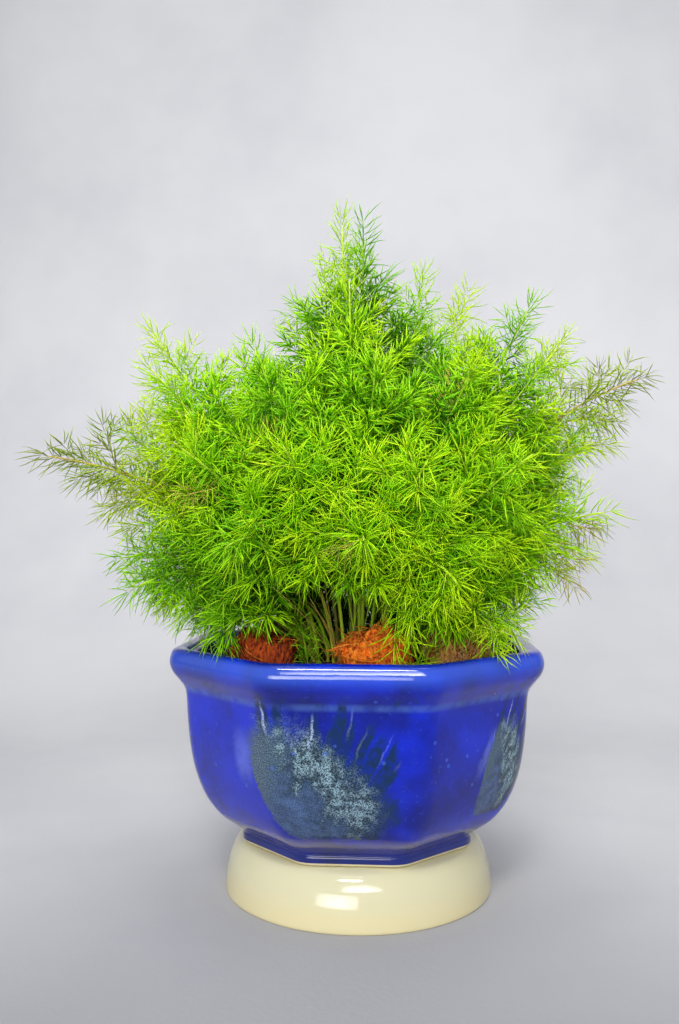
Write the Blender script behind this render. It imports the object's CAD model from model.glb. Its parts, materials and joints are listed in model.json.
"""Looks of the potted asparagus fern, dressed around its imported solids.

Frame: metres, +Z up. The origin is on the floor at the pot's axis, and the pot's front flat faces -Y.
Fronds keep the routes of their solids and get all their side shoots and needles here.
"""

from __future__ import annotations

import json
import logging
import math
import random
from collections.abc import Callable
from dataclasses import dataclass
from enum import Enum

import bmesh
import bpy
import numpy as np
from bmesh.types import BMesh, BMVert
from bpy.types import Collection, Material, Mesh, Object
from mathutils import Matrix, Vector, noise

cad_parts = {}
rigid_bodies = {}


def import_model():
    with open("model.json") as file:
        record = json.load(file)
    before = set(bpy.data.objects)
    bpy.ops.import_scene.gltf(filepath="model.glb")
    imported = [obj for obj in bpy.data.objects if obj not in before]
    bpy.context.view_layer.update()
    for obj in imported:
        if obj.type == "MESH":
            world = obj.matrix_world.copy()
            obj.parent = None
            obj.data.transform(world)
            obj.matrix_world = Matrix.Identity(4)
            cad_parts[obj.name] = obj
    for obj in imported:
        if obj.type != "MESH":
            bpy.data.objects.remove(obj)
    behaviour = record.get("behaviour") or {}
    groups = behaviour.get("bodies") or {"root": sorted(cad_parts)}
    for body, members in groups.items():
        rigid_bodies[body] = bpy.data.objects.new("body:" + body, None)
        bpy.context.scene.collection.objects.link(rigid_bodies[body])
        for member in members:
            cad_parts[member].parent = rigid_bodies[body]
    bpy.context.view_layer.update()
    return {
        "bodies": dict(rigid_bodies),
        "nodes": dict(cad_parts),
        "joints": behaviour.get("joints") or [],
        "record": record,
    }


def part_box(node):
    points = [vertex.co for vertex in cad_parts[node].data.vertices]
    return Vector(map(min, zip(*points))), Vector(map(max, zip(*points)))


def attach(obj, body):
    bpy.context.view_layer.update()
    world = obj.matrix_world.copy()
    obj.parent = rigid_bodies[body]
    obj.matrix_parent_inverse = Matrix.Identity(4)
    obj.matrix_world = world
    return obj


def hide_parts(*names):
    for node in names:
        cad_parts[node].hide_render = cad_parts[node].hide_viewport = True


MM = 0.001
SEED = 2713
GOLDEN_ANGLE = math.pi * (3 - math.sqrt(5))
UV_NAME = "OFBake"
BODY = "root"
DRY_TONE = 0.8

Colour = tuple[float, float, float]
Point = tuple[float, float, float]
Rows = tuple[tuple[float, ...], ...]
Range = tuple[float, float]
Stops = tuple[tuple[float, Colour], ...]

log = logging.getLogger("potted_fern")


def tint(red: int, green: int, blue: int) -> Colour:
    """Turn display values from 0 to 255 into a linear colour.

    Args:
        red: Red as seen on a screen.
        green: Green as seen on a screen.
        blue: Blue as seen on a screen.

    Returns:
        The colour in linear light.
    """
    shares = (value / 255 for value in (red, green, blue))
    return tuple(share / 12.92 if share < 0.04045 else ((share + 0.055) / 1.055) ** 2.4 for share in shares)


def joined(operation: str, other_first: bool = False) -> Callable[[Socket, Socket | float], Socket]:
    """Return a method that joins a socket and another value in one Math node.

    Args:
        operation: The node's operation.
        other_first: Whether the other value goes first.

    Returns:
        The method.
    """
    def method(self: Socket, other: Socket | float) -> Socket:
        """Return the node's result."""
        first, second = (other, self) if other_first else (self, other)
        return self.graph.add("ShaderNodeMath", {"operation": operation}, {0: first, 1: second})["Value"]

    return method


class Socket:
    """An output socket whose arithmetic adds Math nodes."""

    def __init__(self, graph: Graph, raw: bpy.types.NodeSocket) -> None:
        """Keep the graph and the socket."""
        self.graph = graph
        self.raw = raw

    __add__ = joined("ADD")
    __radd__ = joined("ADD", True)
    __sub__ = joined("SUBTRACT")
    __rsub__ = joined("SUBTRACT", True)
    __mul__ = joined("MULTIPLY")
    __rmul__ = joined("MULTIPLY", True)
    __truediv__ = joined("DIVIDE")
    above = joined("GREATER_THAN")
    most = joined("MAXIMUM")


class Built:
    """A node whose outputs are read by name or number."""

    def __init__(self, graph: Graph, node: bpy.types.Node) -> None:
        """Keep the graph and the node."""
        self.graph = graph
        self.node = node

    def __getitem__(self, key: str | int) -> Socket:
        """Return one output as a socket with arithmetic."""
        return Socket(self.graph, Graph.find(self.node.outputs, key))


Value = Socket | float | int | str | tuple | bpy.types.ID | None


class Graph:
    """One node tree, filled by calls that take a node's type, settings and socket values."""

    def __init__(self, tree: bpy.types.NodeTree) -> None:
        """Keep the tree."""
        self.tree = tree

    @staticmethod
    def find(sockets: bpy.types.bpy_prop_collection, key: str | int) -> bpy.types.NodeSocket:
        """Find a socket by number, or the first enabled one of a name.

        Args:
            sockets: A node's inputs or outputs.
            key: The socket's number or name.

        Returns:
            The socket.
        """
        if isinstance(key, int):
            return sockets[key]
        return next(socket for socket in sockets if socket.name == key and socket.enabled)

    def add(self, kind: str, settings: dict[str, object] | None = None,
            sockets: dict[str | int, Value] | None = None) -> Built:
        """Add a node, apply its settings, then fill its sockets.

        Args:
            kind: The node's type.
            settings: Properties to set first; "stops" fills a colour ramp.
            sockets: Values or links by socket name or number.

        Returns:
            The node.
        """
        node = self.tree.nodes.new(kind)
        for name, value in (settings or {}).items():
            if name == "stops":
                self.fill_ramp(node.color_ramp, value)
            else:
                setattr(node, name, value)
        for key, value in (sockets or {}).items():
            target = self.find(node.inputs, key)
            if isinstance(value, Socket):
                self.tree.links.new(value.raw, target)
            elif value is not None:
                target.default_value = (*value, 1) if self.lacks_alpha(target, value) else value
        return Built(self, node)

    @staticmethod
    def lacks_alpha(target: bpy.types.NodeSocket, value: Value) -> bool:
        """Tell whether a colour socket is given a colour of three numbers."""
        return target.type == "RGBA" and len(value) == 3

    @staticmethod
    def fill_ramp(ramp: bpy.types.ColorRamp, stops: Stops) -> None:
        """Give a colour ramp its stops.

        Args:
            ramp: The ramp of a new node, with its two default stops.
            stops: Place and colour of each stop.
        """
        while len(ramp.elements) < len(stops):
            ramp.elements.new(1)
        for element, (place, colour) in zip(ramp.elements, stops):
            element.position = place
            element.color = (*colour, 1)

    def ramp(self, factor: Socket, stops: Stops) -> Socket:
        """Return the colour of a ramp at a factor."""
        return self.add("ShaderNodeValToRGB", {"stops": stops}, {"Fac": factor})["Color"]

    def blend(self, factor: Socket | float, under: Socket | Colour, over: Socket | Colour) -> Socket:
        """Return a colour with a share of another one laid over it."""
        sockets = {"Factor": factor, "A": under, "B": over}
        return self.add("ShaderNodeMix", {"data_type": "RGBA"}, sockets)["Result"]

    def fade(self, value: Socket, low: float | Socket, high: float | Socket) -> Socket:
        """Return a smooth step that is 0 below low and 1 above high."""
        sockets = {"Value": value, "From Min": low, "From Max": high}
        return self.add("ShaderNodeMapRange", {"interpolation_type": "SMOOTHSTEP"}, sockets)["Result"]

    def noise(self, place: Socket, scale: float, detail: float = 2, roughness: float = 0.5) -> Socket:
        """Return noise from 0 to 1 at a place."""
        sockets = {"Vector": place, "Scale": scale, "Detail": detail, "Roughness": roughness}
        return self.add("ShaderNodeTexNoise", {}, sockets)["Fac"]

    def cells(self, place: Socket, scale: float) -> Socket:
        """Return how far a place is from the middle of its Voronoi cell."""
        return self.add("ShaderNodeTexVoronoi", {}, {"Vector": place, "Scale": scale})["Distance"]

    def vector(self, x: Socket | float, y: Socket | float, z: Socket | float) -> Socket:
        """Return a vector of three values."""
        return self.add("ShaderNodeCombineXYZ", {}, {"X": x, "Y": y, "Z": z})["Vector"]

    def split(self, vector: Socket) -> tuple[Socket, Socket, Socket]:
        """Return the three parts of a vector."""
        parts = self.add("ShaderNodeSeparateXYZ", {}, {"Vector": vector})
        return parts["X"], parts["Y"], parts["Z"]

    def stretch(self, place: Socket, scales: Point) -> Socket:
        """Return a place with each axis scaled on its own."""
        return self.add("ShaderNodeVectorMath", {"operation": "MULTIPLY"}, {0: place, 1: scales})["Vector"]

    def bump(self, height: Socket, distance: float, strength: float = 1) -> Socket:
        """Return the normal that a height map gives."""
        sockets = {"Height": height, "Distance": distance, "Strength": strength}
        return self.add("ShaderNodeBump", {}, sockets)["Normal"]


class Surface:
    """A material under construction, with its Principled shader and object coordinates."""

    def __init__(self, name: str) -> None:
        """Start an empty material.

        Args:
            name: Its name.
        """
        self.material = bpy.data.materials.new(name)
        self.material.use_nodes = True
        self.material.node_tree.nodes.clear()
        self.graph = Graph(self.material.node_tree)
        self.place = self.graph.add("ShaderNodeTexCoord")["Object"]

    def principled(self, **sockets: Value) -> Socket:
        """Return a Principled shader with these sockets, whose names have _ for each space."""
        named = {name.replace("_", " "): value for name, value in sockets.items()}
        return self.graph.add("ShaderNodeBsdfPrincipled", {}, named)["BSDF"]

    def finish(self, shader: Socket) -> Material:
        """Link a shader to the output and return the material."""
        self.graph.add("ShaderNodeOutputMaterial", {}, {"Surface": shader})
        return self.material


class Slot(Enum):
    """The record's material slots."""

    CREAM = "cream_glaze"
    COBALT = "cobalt_glaze"
    SOIL = "soil"
    HUSK = "coir_husk"
    FERN = "fern_green"


@dataclass(frozen=True)
class Splash:
    """A reactive splash in the glaze: dark fingers run up from a speckled pool on one facet.

    Its own coordinates are millimetres from the pool's middle along the facet, and from its foot upwards.
    A range holds the two places between which an edge or a band fades in.

    Args:
        middle: Where the pool's middle is along its facet, in millimetres.
        foot: Height of the pool's lowest point in millimetres.
        size: Scale of the splash.
        tall: How much further it is stretched upwards.
        seed: Shift of its noise.
        lean: How far it leans along the facet for each millimetre upwards.
    """

    middle: float
    foot: float
    size: float
    tall: float
    seed: float
    lean: float = 0.0
    teal: Colour = tint(5, 38, 82)
    inky: Colour = tint(16, 36, 44)
    moss: Colour = tint(26, 46, 62)
    dusk: Colour = tint(20, 42, 84)
    wash: Colour = tint(48, 72, 122)
    pale: Colour = tint(152, 184, 198)
    froth: Colour = tint(180, 196, 236)
    milk: Colour = tint(112, 128, 206)
    left_edge: Range = (-35, -30.5)
    right_edge: Range = (29, 35)
    right_bank: Range = (18, 27)
    top: float = 51
    widest: float = 26
    band_slope: Range = (0.74, 0.672)
    band_middle: float = 23.3
    band_start: Range = (-17, -5)
    band_end: Range = (3, 16)
    shore_start: Range = (-45, -37)
    shore_end: Range = (-36, -29)
    fan_centre: Range = (-13, -32)
    finger_step: float = 0.095
    finger_half: float = 3.3
    finger_reach: float = 25
    run_step: float = 0.14
    run_half: float = 0.7
    run_reach: float = 22
    shortest: float = 46

    def paint(self, graph: Graph, colour: Socket, across: Socket, height: Socket, facet: Socket) -> Socket:
        """Lay the splash over a colour.

        Args:
            graph: The material's graph.
            colour: The glaze below.
            across: Place along the facet in millimetres.
            height: Height in millimetres.
            facet: 1 on the splash's facet, 0 elsewhere.

        Returns:
            The colour with the splash.
        """
        fade = graph.fade
        side = (across - self.lean * (height - self.foot) - self.middle) / self.size
        up = (height - self.foot) / (self.size * self.tall)
        place = graph.vector(side + self.seed, up, self.seed)
        waver = graph.noise(place, 0.11, 3) - 0.5
        ragged = graph.noise(place, 0.5, 3, 0.6) - 0.5
        grain = graph.noise(place, 1.15, 4, 0.8)
        dust = graph.noise(place, 2.8, 2, 0.7)
        crest = self.top - 0.8 * (side + 6).most(0) + 18 * waver
        hollow = (-9 - side).most(0)
        floor = 0.055 * hollow * hollow + 7 * ragged
        bulge = up - self.widest
        left = side + 9 * waver + 7 * ragged + 3 * (grain - 0.5)
        right = side + 0.012 * bulge * bulge + 9 * waver + 5 * ragged
        edges = fade(left, *self.left_edge) * (1 - fade(right, *self.right_edge)) * facet
        edges = edges * fade(up - floor, -0.8, 2.2)
        body = edges * (1 - fade(up - crest + 14 * ragged, -8, 6))
        fingers, runs = self.fingers(graph, side + 5 * waver, up, crest)
        band = self.band_slope[0] * side + self.band_slope[1] * up - self.band_middle
        band = band + 26 * waver + 7 * ragged
        clump = fade(graph.noise(place, 0.25, 2), 0.36, 0.6)
        crowd = fade(band, *self.band_start) * (1 - fade(band, *self.band_end)) * (0.3 + 0.7 * clump)
        flow = graph.noise(graph.vector(0.15 * side + 0.06 * up + self.seed, 0.24 * up, 0), 1, 3, 0.6)
        low = 1 - fade(band, -19, -7)
        mossy = (1 - fade(side - 0.3 * up + 8 * ragged, -36, -18)) * fade(up, 6, 22)
        pool = graph.blend(fade(band, 4, 14), self.inky, self.teal)
        pool = graph.blend(low * 0.92, pool, graph.blend(fade(flow, 0.38, 0.62), self.dusk, self.wash))
        pool = graph.blend(mossy * 0.8, pool, self.moss)
        powder = fade(dust + 0.25 * (grain - 0.5), 0.44, 0.66) * (0.33 * low).most(0.5 * mossy)
        speck = fade(grain + 0.6 * (dust - 0.5) + 0.08 * crowd, 0.51, 0.64) * (0.1 + 0.76 * crowd)
        bank = fade(right + 6 * ragged, *self.right_bank)
        pale = speck.most(powder) * (1 - 0.9 * bank)
        pool = graph.blend(pale, graph.blend(0.9 * bank, pool, self.teal), self.pale)
        rim = (1 - fade(up - floor, 0.5, 5)) * fade(side + 14 * ragged, -16, 4)
        pool = graph.blend(rim * 0.8, pool, self.inky)
        shore = fade(left, *self.shore_start) * (1 - fade(left, *self.shore_end))
        halo = shore * fade(up + 12 * ragged, 20, 34) * (1 - fade(up, 38, 52)) * facet
        colour = graph.blend(halo * (0.15 + 0.5 * dust), colour, self.milk)
        colour = graph.blend(fingers * facet * (0.6 + 0.5 * clump), colour, self.teal)
        colour = graph.blend(body * 0.97, colour, pool)
        return graph.blend(runs * facet * fade(grain, 0.36, 0.58) * 0.75, colour, self.froth)

    def fingers(self, graph: Graph, side: Socket, up: Socket, crest: Socket) -> tuple[Socket, Socket]:
        """Return the masks of the dark fingers above the pool and of the thin pale runs between them.

        Args:
            graph: The material's graph.
            side: Wavering place along the facet from the pool's middle.
            up: Height above the pool's foot.
            crest: Height of the pool's top there.

        Returns:
            The mask of the fingers and the mask of the pale runs.
        """
        reach = up - self.fan_centre[1]
        fan = (side - self.fan_centre[0]) / reach
        drop = 0.32 * side.most(0)
        masks = []
        kinds = (
            (True, self.finger_step, self.finger_half, self.finger_reach, 0.15, 0.0),
            (False, self.run_step, self.run_half, self.run_reach, 0.4, 0.4),
        )
        for wide, step, half, longest, missing, shift in kinds:
            sockets = {"W": fan / step + (self.seed + shift), "Scale": 1.0, "Randomness": 0.8}
            cell = graph.add("ShaderNodeTexVoronoi", {"voronoi_dimensions": "1D"}, sockets)
            chance, other, _ = graph.split(cell["Color"])
            top = self.shortest + longest * chance - drop
            width = half * (0.7 + 0.7 * other) * (1 - graph.fade(up, top - 18, top + 3) * 0.4)
            mask = 1 - graph.fade(cell["Distance"] * step * reach / width, 0.5, 1.3)
            if wide:
                start = graph.fade(up - crest, -14, -6)
            else:
                start = graph.fade(up, top - 22 + 8 * other, top - 10)
            masks.append(mask * (1 - graph.fade(up - top, -7, 2)) * start * chance.above(missing))
        inside = graph.fade(side, -36, -31) * (1 - graph.fade(side, 30, 34))
        return masks[0] * inside, masks[1] * inside * (1 - 0.8 * graph.fade(side, -2, 12))


@dataclass(frozen=True)
class CobaltGlaze:
    """Glossy cobalt glaze, thinner on edges, with a bare foot ring and splashes on three facets.

    A range holds the two heights in millimetres between which a zone fades in or out.

    Args:
        splashes: The splashes in front, on the right and behind.
    """

    deep: Colour = tint(6, 22, 122)
    full: Colour = tint(5, 36, 188)
    thin: Colour = tint(60, 96, 204)
    edge: Colour = tint(84, 122, 190)
    drip: Colour = tint(10, 48, 84)
    ash: Colour = tint(32, 40, 62)
    dusty: Colour = tint(104, 104, 116)
    clay: Colour = tint(214, 200, 160)
    splashes: tuple[Splash, ...] = (
        Splash(-11, 42, 1.0, 1.0, 4.3), Splash(11.5, 47, 0.5, 1.7, 17.9, 0.4), Splash(4, 46, 0.9, 1.0, 31.7),
    )
    foot_bare: Range = (27.3, 27.8)
    foot: Range = (31, 33.5)
    cove_start: Range = (31, 34)
    cove_end: Range = (38, 46)
    groove: float = 103.0
    neck_start: Range = (101, 105)
    neck_end: Range = (107.5, 110.5)
    lip_start: Range = (110, 117)
    lip_end: Range = (119.5, 122)

    def build(self) -> Material:
        """Make the glaze.

        Returns:
            The material.
        """
        surface = Surface("Cobalt glaze")
        graph = surface.graph
        fade = graph.fade
        x, y, z = (part * (1 / MM) for part in graph.split(surface.place))
        broad = graph.noise(surface.place, 26, 3)
        fine = graph.noise(surface.place, 420, 2, 0.6)
        cloudy = broad + 0.5 * (graph.noise(surface.place, 75, 3, 0.6) - 0.5)
        colour = graph.blend(fade(cloudy, 0.3, 0.72), self.deep, self.full)
        colour = graph.blend(fade(fine, 0.60, 0.78) * 0.22, colour, self.thin)
        crest = fade(z, *self.lip_start) * (1 - fade(z, *self.lip_end))
        colour = graph.blend(crest * 0.5, colour, self.thin)
        ring = 1 - fade((z - self.groove).most(self.groove - z), 0.3, 2.6)
        runs = graph.noise(graph.vector(x, y, 0), 0.16, 2)
        colour = graph.blend(ring * (0.14 + 0.2 * fade(runs, 0.35, 0.6)), colour, self.edge)
        spots = graph.noise(graph.vector(x, y, 0.05 * z), 0.26, 1)
        hanging = fade(z, *self.neck_start) * (1 - fade(z, *self.neck_end))
        colour = graph.blend(fade(spots, 0.58, 0.68) * hanging * 0.5, colour, self.drip)
        cove = fade(z, *self.cove_start) * (1 - fade(z + 6 * broad, *self.cove_end))
        colour = graph.blend(cove * 0.6, colour, self.dusty)
        colour = graph.blend((1 - fade(z, *self.foot)) * 0.7, colour, self.ash)
        diagonal = math.sqrt(0.5)
        facets = (
            (x, fade(-1 * y, 60, 64)),
            ((x + y) * diagonal, fade((x - y) * diagonal, 46, 52)),
            (-1 * x, fade(y, 46, 52)),
        )
        for splash, (across, facet) in zip(self.splashes, facets):
            colour = splash.paint(graph, colour, across, z, facet)
        pits = 1 - fade(graph.cells(surface.place, 95), 0.05, 0.11)
        colour = graph.blend(pits * 0.5, colour, self.thin)
        bare = 1 - fade(z, *self.foot_bare)
        colour = graph.blend(bare, colour, self.clay)
        peel = graph.noise(surface.place, 120, 2) + 0.16 * fine
        return surface.finish(surface.principled(
            Base_Color=colour,
            Roughness=0.07 + 0.10 * fade(broad, 0.4, 0.8) + bare * 0.6,
            IOR=1.5,
            Normal=graph.bump(peel, 0.00022, 0.35),
        ))


@dataclass(frozen=True)
class CreamGlaze:
    """Cream glaze of the stand: warmer where it pools low, with a few pinholes."""

    light: Colour = tint(197, 193, 160)
    warm: Colour = tint(204, 193, 151)
    pinhole: Colour = tint(120, 96, 60)

    def build(self) -> Material:
        """Make the glaze.

        Returns:
            The material.
        """
        surface = Surface("Cream glaze")
        graph = surface.graph
        height = graph.split(surface.place)[2] * (1 / MM)
        cloud = graph.noise(surface.place, 24, 3)
        low = 1 - graph.fade(height + 9 * cloud, 7, 22)
        colour = graph.blend(low * 0.85, self.light, self.warm)
        colour = graph.blend(graph.fade(cloud, 0.45, 0.75) * 0.25, colour, self.warm)
        holes = 1 - graph.fade(graph.cells(surface.place, 48), 0.02, 0.035)
        colour = graph.blend(holes * 0.8, colour, self.pinhole)
        ripple = graph.noise(surface.place, 90, 2) - holes * 0.6
        return surface.finish(surface.principled(
            Base_Color=colour,
            Roughness=0.05 + 0.07 * cloud,
            IOR=1.48,
            Normal=graph.bump(ripple, 0.0002, 0.35),
        ))


@dataclass(frozen=True)
class FernGreen:
    """Needles and stems, coloured by the piece's own map: place on it along u, freshness along v."""

    needle_stops: Stops = (
        (0.0, tint(22, 84, 14)), (0.2, tint(66, 152, 8)), (0.4, tint(130, 212, 4)), (0.6, tint(192, 240, 3)),
        (0.79, tint(226, 248, 26)), (0.86, tint(122, 146, 44)), (0.95, tint(214, 182, 88)),
        (1.0, tint(136, 86, 38)),
    )
    stem_stops: Stops = (
        (0.0, tint(76, 124, 24)), (0.4, tint(146, 192, 34)), (0.75, tint(204, 224, 66)),
        (0.84, tint(126, 124, 52)), (0.9, tint(232, 194, 98)), (1.0, tint(150, 92, 42)),
    )
    young_tip: Colour = tint(210, 244, 40)
    lit_through: Colour = tint(196, 242, 16)
    glow: float = 0.34
    stems_from: float = 0.52

    def build(self) -> Material:
        """Make the green of stems and needles.

        Returns:
            The material.
        """
        surface = Surface("Fern green")
        graph = surface.graph
        place = graph.add("ShaderNodeUVMap", {"uv_map": UV_NAME})["UV"]
        way, fresh, _ = graph.split(place)
        needle = graph.ramp(fresh, self.needle_stops)
        needle = graph.blend(0.28 * graph.fade(way, 0.1, 0.5), needle, self.young_tip)
        on_stem = way.above(self.stems_from)
        colour = graph.blend(on_stem, needle, graph.ramp(fresh, self.stem_stops))
        shader = surface.principled(
            Base_Color=colour,
            Roughness=0.46 + 0.1 * fresh,
            IOR=1.42,
            Specular_IOR_Level=0.3,
        )
        bright = graph.blend(0.35, colour, self.lit_through)
        through = graph.add("ShaderNodeBsdfTranslucent", {}, {"Color": bright})["BSDF"]
        sockets = {0: self.glow * (1 - on_stem), 1: shader, 2: through}
        return surface.finish(graph.add("ShaderNodeMixShader", {}, sockets)["Shader"])


@dataclass(frozen=True)
class PottingMix:
    """Dark damp potting mix with lighter crumbs."""

    dark: Colour = tint(34, 20, 12)
    brown: Colour = tint(86, 52, 30)
    crumb: Colour = tint(146, 84, 44)

    def build(self) -> Material:
        """Make the soil's dark, damp finish.

        Returns:
            The material.
        """
        surface = Surface("Potting mix")
        graph = surface.graph
        clods = graph.noise(surface.place, 160, 4, 0.65)
        grit = graph.noise(surface.place, 900, 2, 0.6)
        colour = graph.blend(graph.fade(clods, 0.35, 0.7), self.dark, self.brown)
        colour = graph.blend(graph.fade(grit, 0.62, 0.74) * 0.7, colour, self.crumb)
        return surface.finish(surface.principled(
            Base_Color=colour,
            Roughness=0.75 + 0.2 * grit,
            Specular_IOR_Level=0.3,
            Normal=graph.bump(clods + 0.5 * grit, 0.0012, 0.8),
        ))


@dataclass(frozen=True)
class CoirHusk:
    """Coconut husk: orange-brown pith with stringy streaks.

    Args:
        name: The material's name.
        shade: Colour of the hollows.
        body: Colour of most of the husk.
        bright: Colour of the raised strings.
        grain: How long the streaks are along each axis, as noise scales.
    """

    name: str
    shade: Colour
    body: Colour
    bright: Colour
    grain: Point = (760, 520, 150)

    def build(self) -> Material:
        """Make the husk's stringy finish.

        Returns:
            The material.
        """
        surface = Surface(self.name)
        graph = surface.graph
        warp = graph.noise(surface.place, 60, 2)
        string = graph.noise(graph.stretch(surface.place, self.grain), 1, 4, 0.7)
        pith = graph.noise(surface.place, 520, 3, 0.65)
        lit = graph.fade(string + 0.35 * pith + 0.3 * warp, 0.66, 0.98)
        colour = graph.blend(graph.fade(pith + 0.4 * warp, 0.5, 0.82), self.shade, self.body)
        colour = graph.blend(lit, colour, self.bright)
        return surface.finish(surface.principled(
            Base_Color=colour,
            Roughness=0.72 + 0.2 * pith,
            Specular_IOR_Level=0.25,
            Normal=graph.bump(string + 0.6 * pith, 0.0016, 0.9),
        ))


@dataclass(frozen=True)
class Muslin:
    """Pale backdrop cloth."""

    pale: Colour = tint(184, 184, 187)
    grey: Colour = tint(172, 172, 176)
    near: Colour = tint(140, 140, 145)
    threads: Point = (420, 420, 900)

    def build(self) -> Material:
        """Make the cloth's finish.

        Returns:
            The material.
        """
        surface = Surface("Pale backdrop")
        graph = surface.graph
        cloud = graph.noise(surface.place, 3.2, 4, 0.6)
        weave = graph.noise(graph.stretch(surface.place, self.threads), 1, 2)
        colour = graph.blend(graph.fade(cloud, 0.3, 0.75), self.pale, self.grey)
        _, depth, _ = graph.split(surface.place)
        colour = graph.blend(graph.fade(-1 * depth, -0.02, 0.26), colour, self.near)
        return surface.finish(surface.principled(
            Base_Color=colour,
            Roughness=0.9,
            Specular_IOR_Level=0.1,
            Normal=graph.bump(cloud + 0.1 * weave, 0.004, 0.3),
        ))


class Recipe:
    """A Geometry Nodes tree with named inputs, which turns a base mesh into a plain mesh."""

    def __init__(self, name: str) -> None:
        """Make a tree with one geometry in and one out.

        Args:
            name: Its name.
        """
        self.tree = bpy.data.node_groups.new(name, "GeometryNodeTree")
        self.graph = Graph(self.tree)
        for way in ("INPUT", "OUTPUT"):
            self.tree.interface.new_socket("Geometry", in_out=way, socket_type="NodeSocketGeometry")
        self.source = self.graph.add("NodeGroupInput")
        self.identifiers: dict[str, str] = {}

    def inputs(self, **kinds: str) -> list[Socket]:
        """Add named inputs.

        Args:
            kinds: Each input's socket type without its prefix, such as Float, by the input's name, which
                has _ for each space.

        Returns:
            The inputs inside the tree.
        """
        names = [label.replace("_", " ") for label in kinds]
        for name, kind in zip(names, kinds.values()):
            item = self.tree.interface.new_socket(name, in_out="INPUT", socket_type="NodeSocket" + kind)
            self.identifiers[name] = item.identifier
        return [self.source[name] for name in names]

    def attribute(self, name: str, kind: str = "FLOAT") -> Socket:
        """Return a named attribute as a field."""
        settings = {"data_type": kind}
        return self.graph.add("GeometryNodeInputNamedAttribute", settings, {"Name": name})["Attribute"]

    def chance(self, low: Socket | float, high: Socket | float, seed: Socket, kind: str = "FLOAT") -> Socket:
        """Return a random number for each element.

        Args:
            low: The lowest value.
            high: The highest value.
            seed: The seed.
            kind: FLOAT or INT.

        Returns:
            The random field.
        """
        sockets = {"Min": low, "Max": high, "Seed": seed}
        return self.graph.add("FunctionNodeRandomValue", {"data_type": kind}, sockets)["Value"]

    def store(self, geometry: Socket, name: str, value: Socket, kind: str = "FLOAT",
              domain: str = "POINT") -> Socket:
        """Store a field as a named attribute.

        Args:
            geometry: What gets the attribute.
            name: The attribute's name.
            value: The field.
            kind: The attribute's data type.
            domain: Where it is stored.

        Returns:
            The geometry with the attribute.
        """
        settings = {"data_type": kind, "domain": domain}
        sockets = {"Geometry": geometry, "Name": name, "Value": value}
        return self.graph.add("GeometryNodeStoreNamedAttribute", settings, sockets)["Geometry"]

    def scatter(self, points: Socket, copies: Socket, pick: Socket, rotation: Socket, size: Socket) -> Socket:
        """Place a collection's members on points and make them real.

        Args:
            points: Where the copies go.
            copies: The collection to pick from.
            pick: Which member each point gets.
            rotation: Each copy's rotation.
            size: Each copy's scale.

        Returns:
            The copies as one mesh.
        """
        settings = {"transform_space": "ORIGINAL"}
        sockets = {"Collection": copies, "Separate Children": True, "Reset Children": True}
        members = self.graph.add("GeometryNodeCollectionInfo", settings, sockets)["Instances"]
        placed = self.graph.add("GeometryNodeInstanceOnPoints", {}, {
            "Points": points, "Instance": members, "Pick Instance": True, "Instance Index": pick,
            "Rotation": rotation, "Scale": self.graph.vector(size, size, size),
        })["Instances"]
        return self.graph.add("GeometryNodeRealizeInstances", {}, {"Geometry": placed})["Geometry"]

    def turned(self, rotation: Socket, about_y: Socket | float, about_z: Socket) -> Socket:
        """Turn a rotation about its own Z axis, after a tilt about its own Y axis.

        Args:
            rotation: The rotation.
            about_y: The tilt in radians.
            about_z: The turn in radians.

        Returns:
            The new rotation.
        """
        turn = self.graph.add("FunctionNodeEulerToRotation", {}, {0: self.graph.vector(0, about_y, about_z)})
        sockets = {"Rotation": rotation, "Rotate By": turn["Rotation"]}
        return self.graph.add("FunctionNodeRotateRotation", {"rotation_space": "LOCAL"}, sockets)["Rotation"]

    def finish(self, geometry: Socket, material: Socket) -> None:
        """End the tree with smooth shading and its material.

        Args:
            geometry: What the tree has made.
            material: Its material.
        """
        sockets = {"Geometry": geometry, "Shade Smooth": True}
        shaded = self.graph.add("GeometryNodeSetShadeSmooth", {}, sockets)["Geometry"]
        dressed = self.graph.add("GeometryNodeSetMaterial", {}, {"Geometry": shaded, "Material": material})
        self.graph.add("NodeGroupOutput", {"is_active_output": True}, {"Geometry": dressed["Geometry"]})

    def make(self, name: str, base: Mesh, values: dict[str, object]) -> Object:
        """Run the tree on a base mesh and keep the result as a plain mesh.

        Args:
            name: The piece's name.
            base: The mesh that the tree starts from.
            values: A value for each named input.

        Returns:
            The piece.
        """
        guide = place_object(name + "_guide", base)
        modifier = guide.modifiers.new(self.tree.name, "NODES")
        modifier.node_group = self.tree
        for label, value in values.items():
            modifier[self.identifiers[label]] = value
        mesh = evaluated_mesh(guide, name)
        guide.modifiers.remove(modifier)
        bpy.data.objects.remove(guide)
        bpy.data.meshes.remove(base)
        return place_object(name, mesh)


def place_object(name: str, mesh: Mesh) -> Object:
    """Put a mesh in the scene at the origin as a named object.

    Args:
        name: The object's name.
        mesh: Its mesh.

    Returns:
        The object.
    """
    thing = bpy.data.objects.new(name, mesh)
    bpy.context.scene.collection.objects.link(thing)
    return thing


def evaluated_mesh(thing: Object, name: str) -> Mesh:
    """Return a plain mesh of an object with its modifiers applied.

    Args:
        thing: The object.
        name: The new mesh's name.

    Returns:
        The new mesh.
    """
    depsgraph = bpy.context.evaluated_depsgraph_get()
    source = thing.evaluated_get(depsgraph)
    mesh = bpy.data.meshes.new_from_object(source, preserve_all_data_layers=True, depsgraph=depsgraph)
    mesh.name = name
    return mesh


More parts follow.
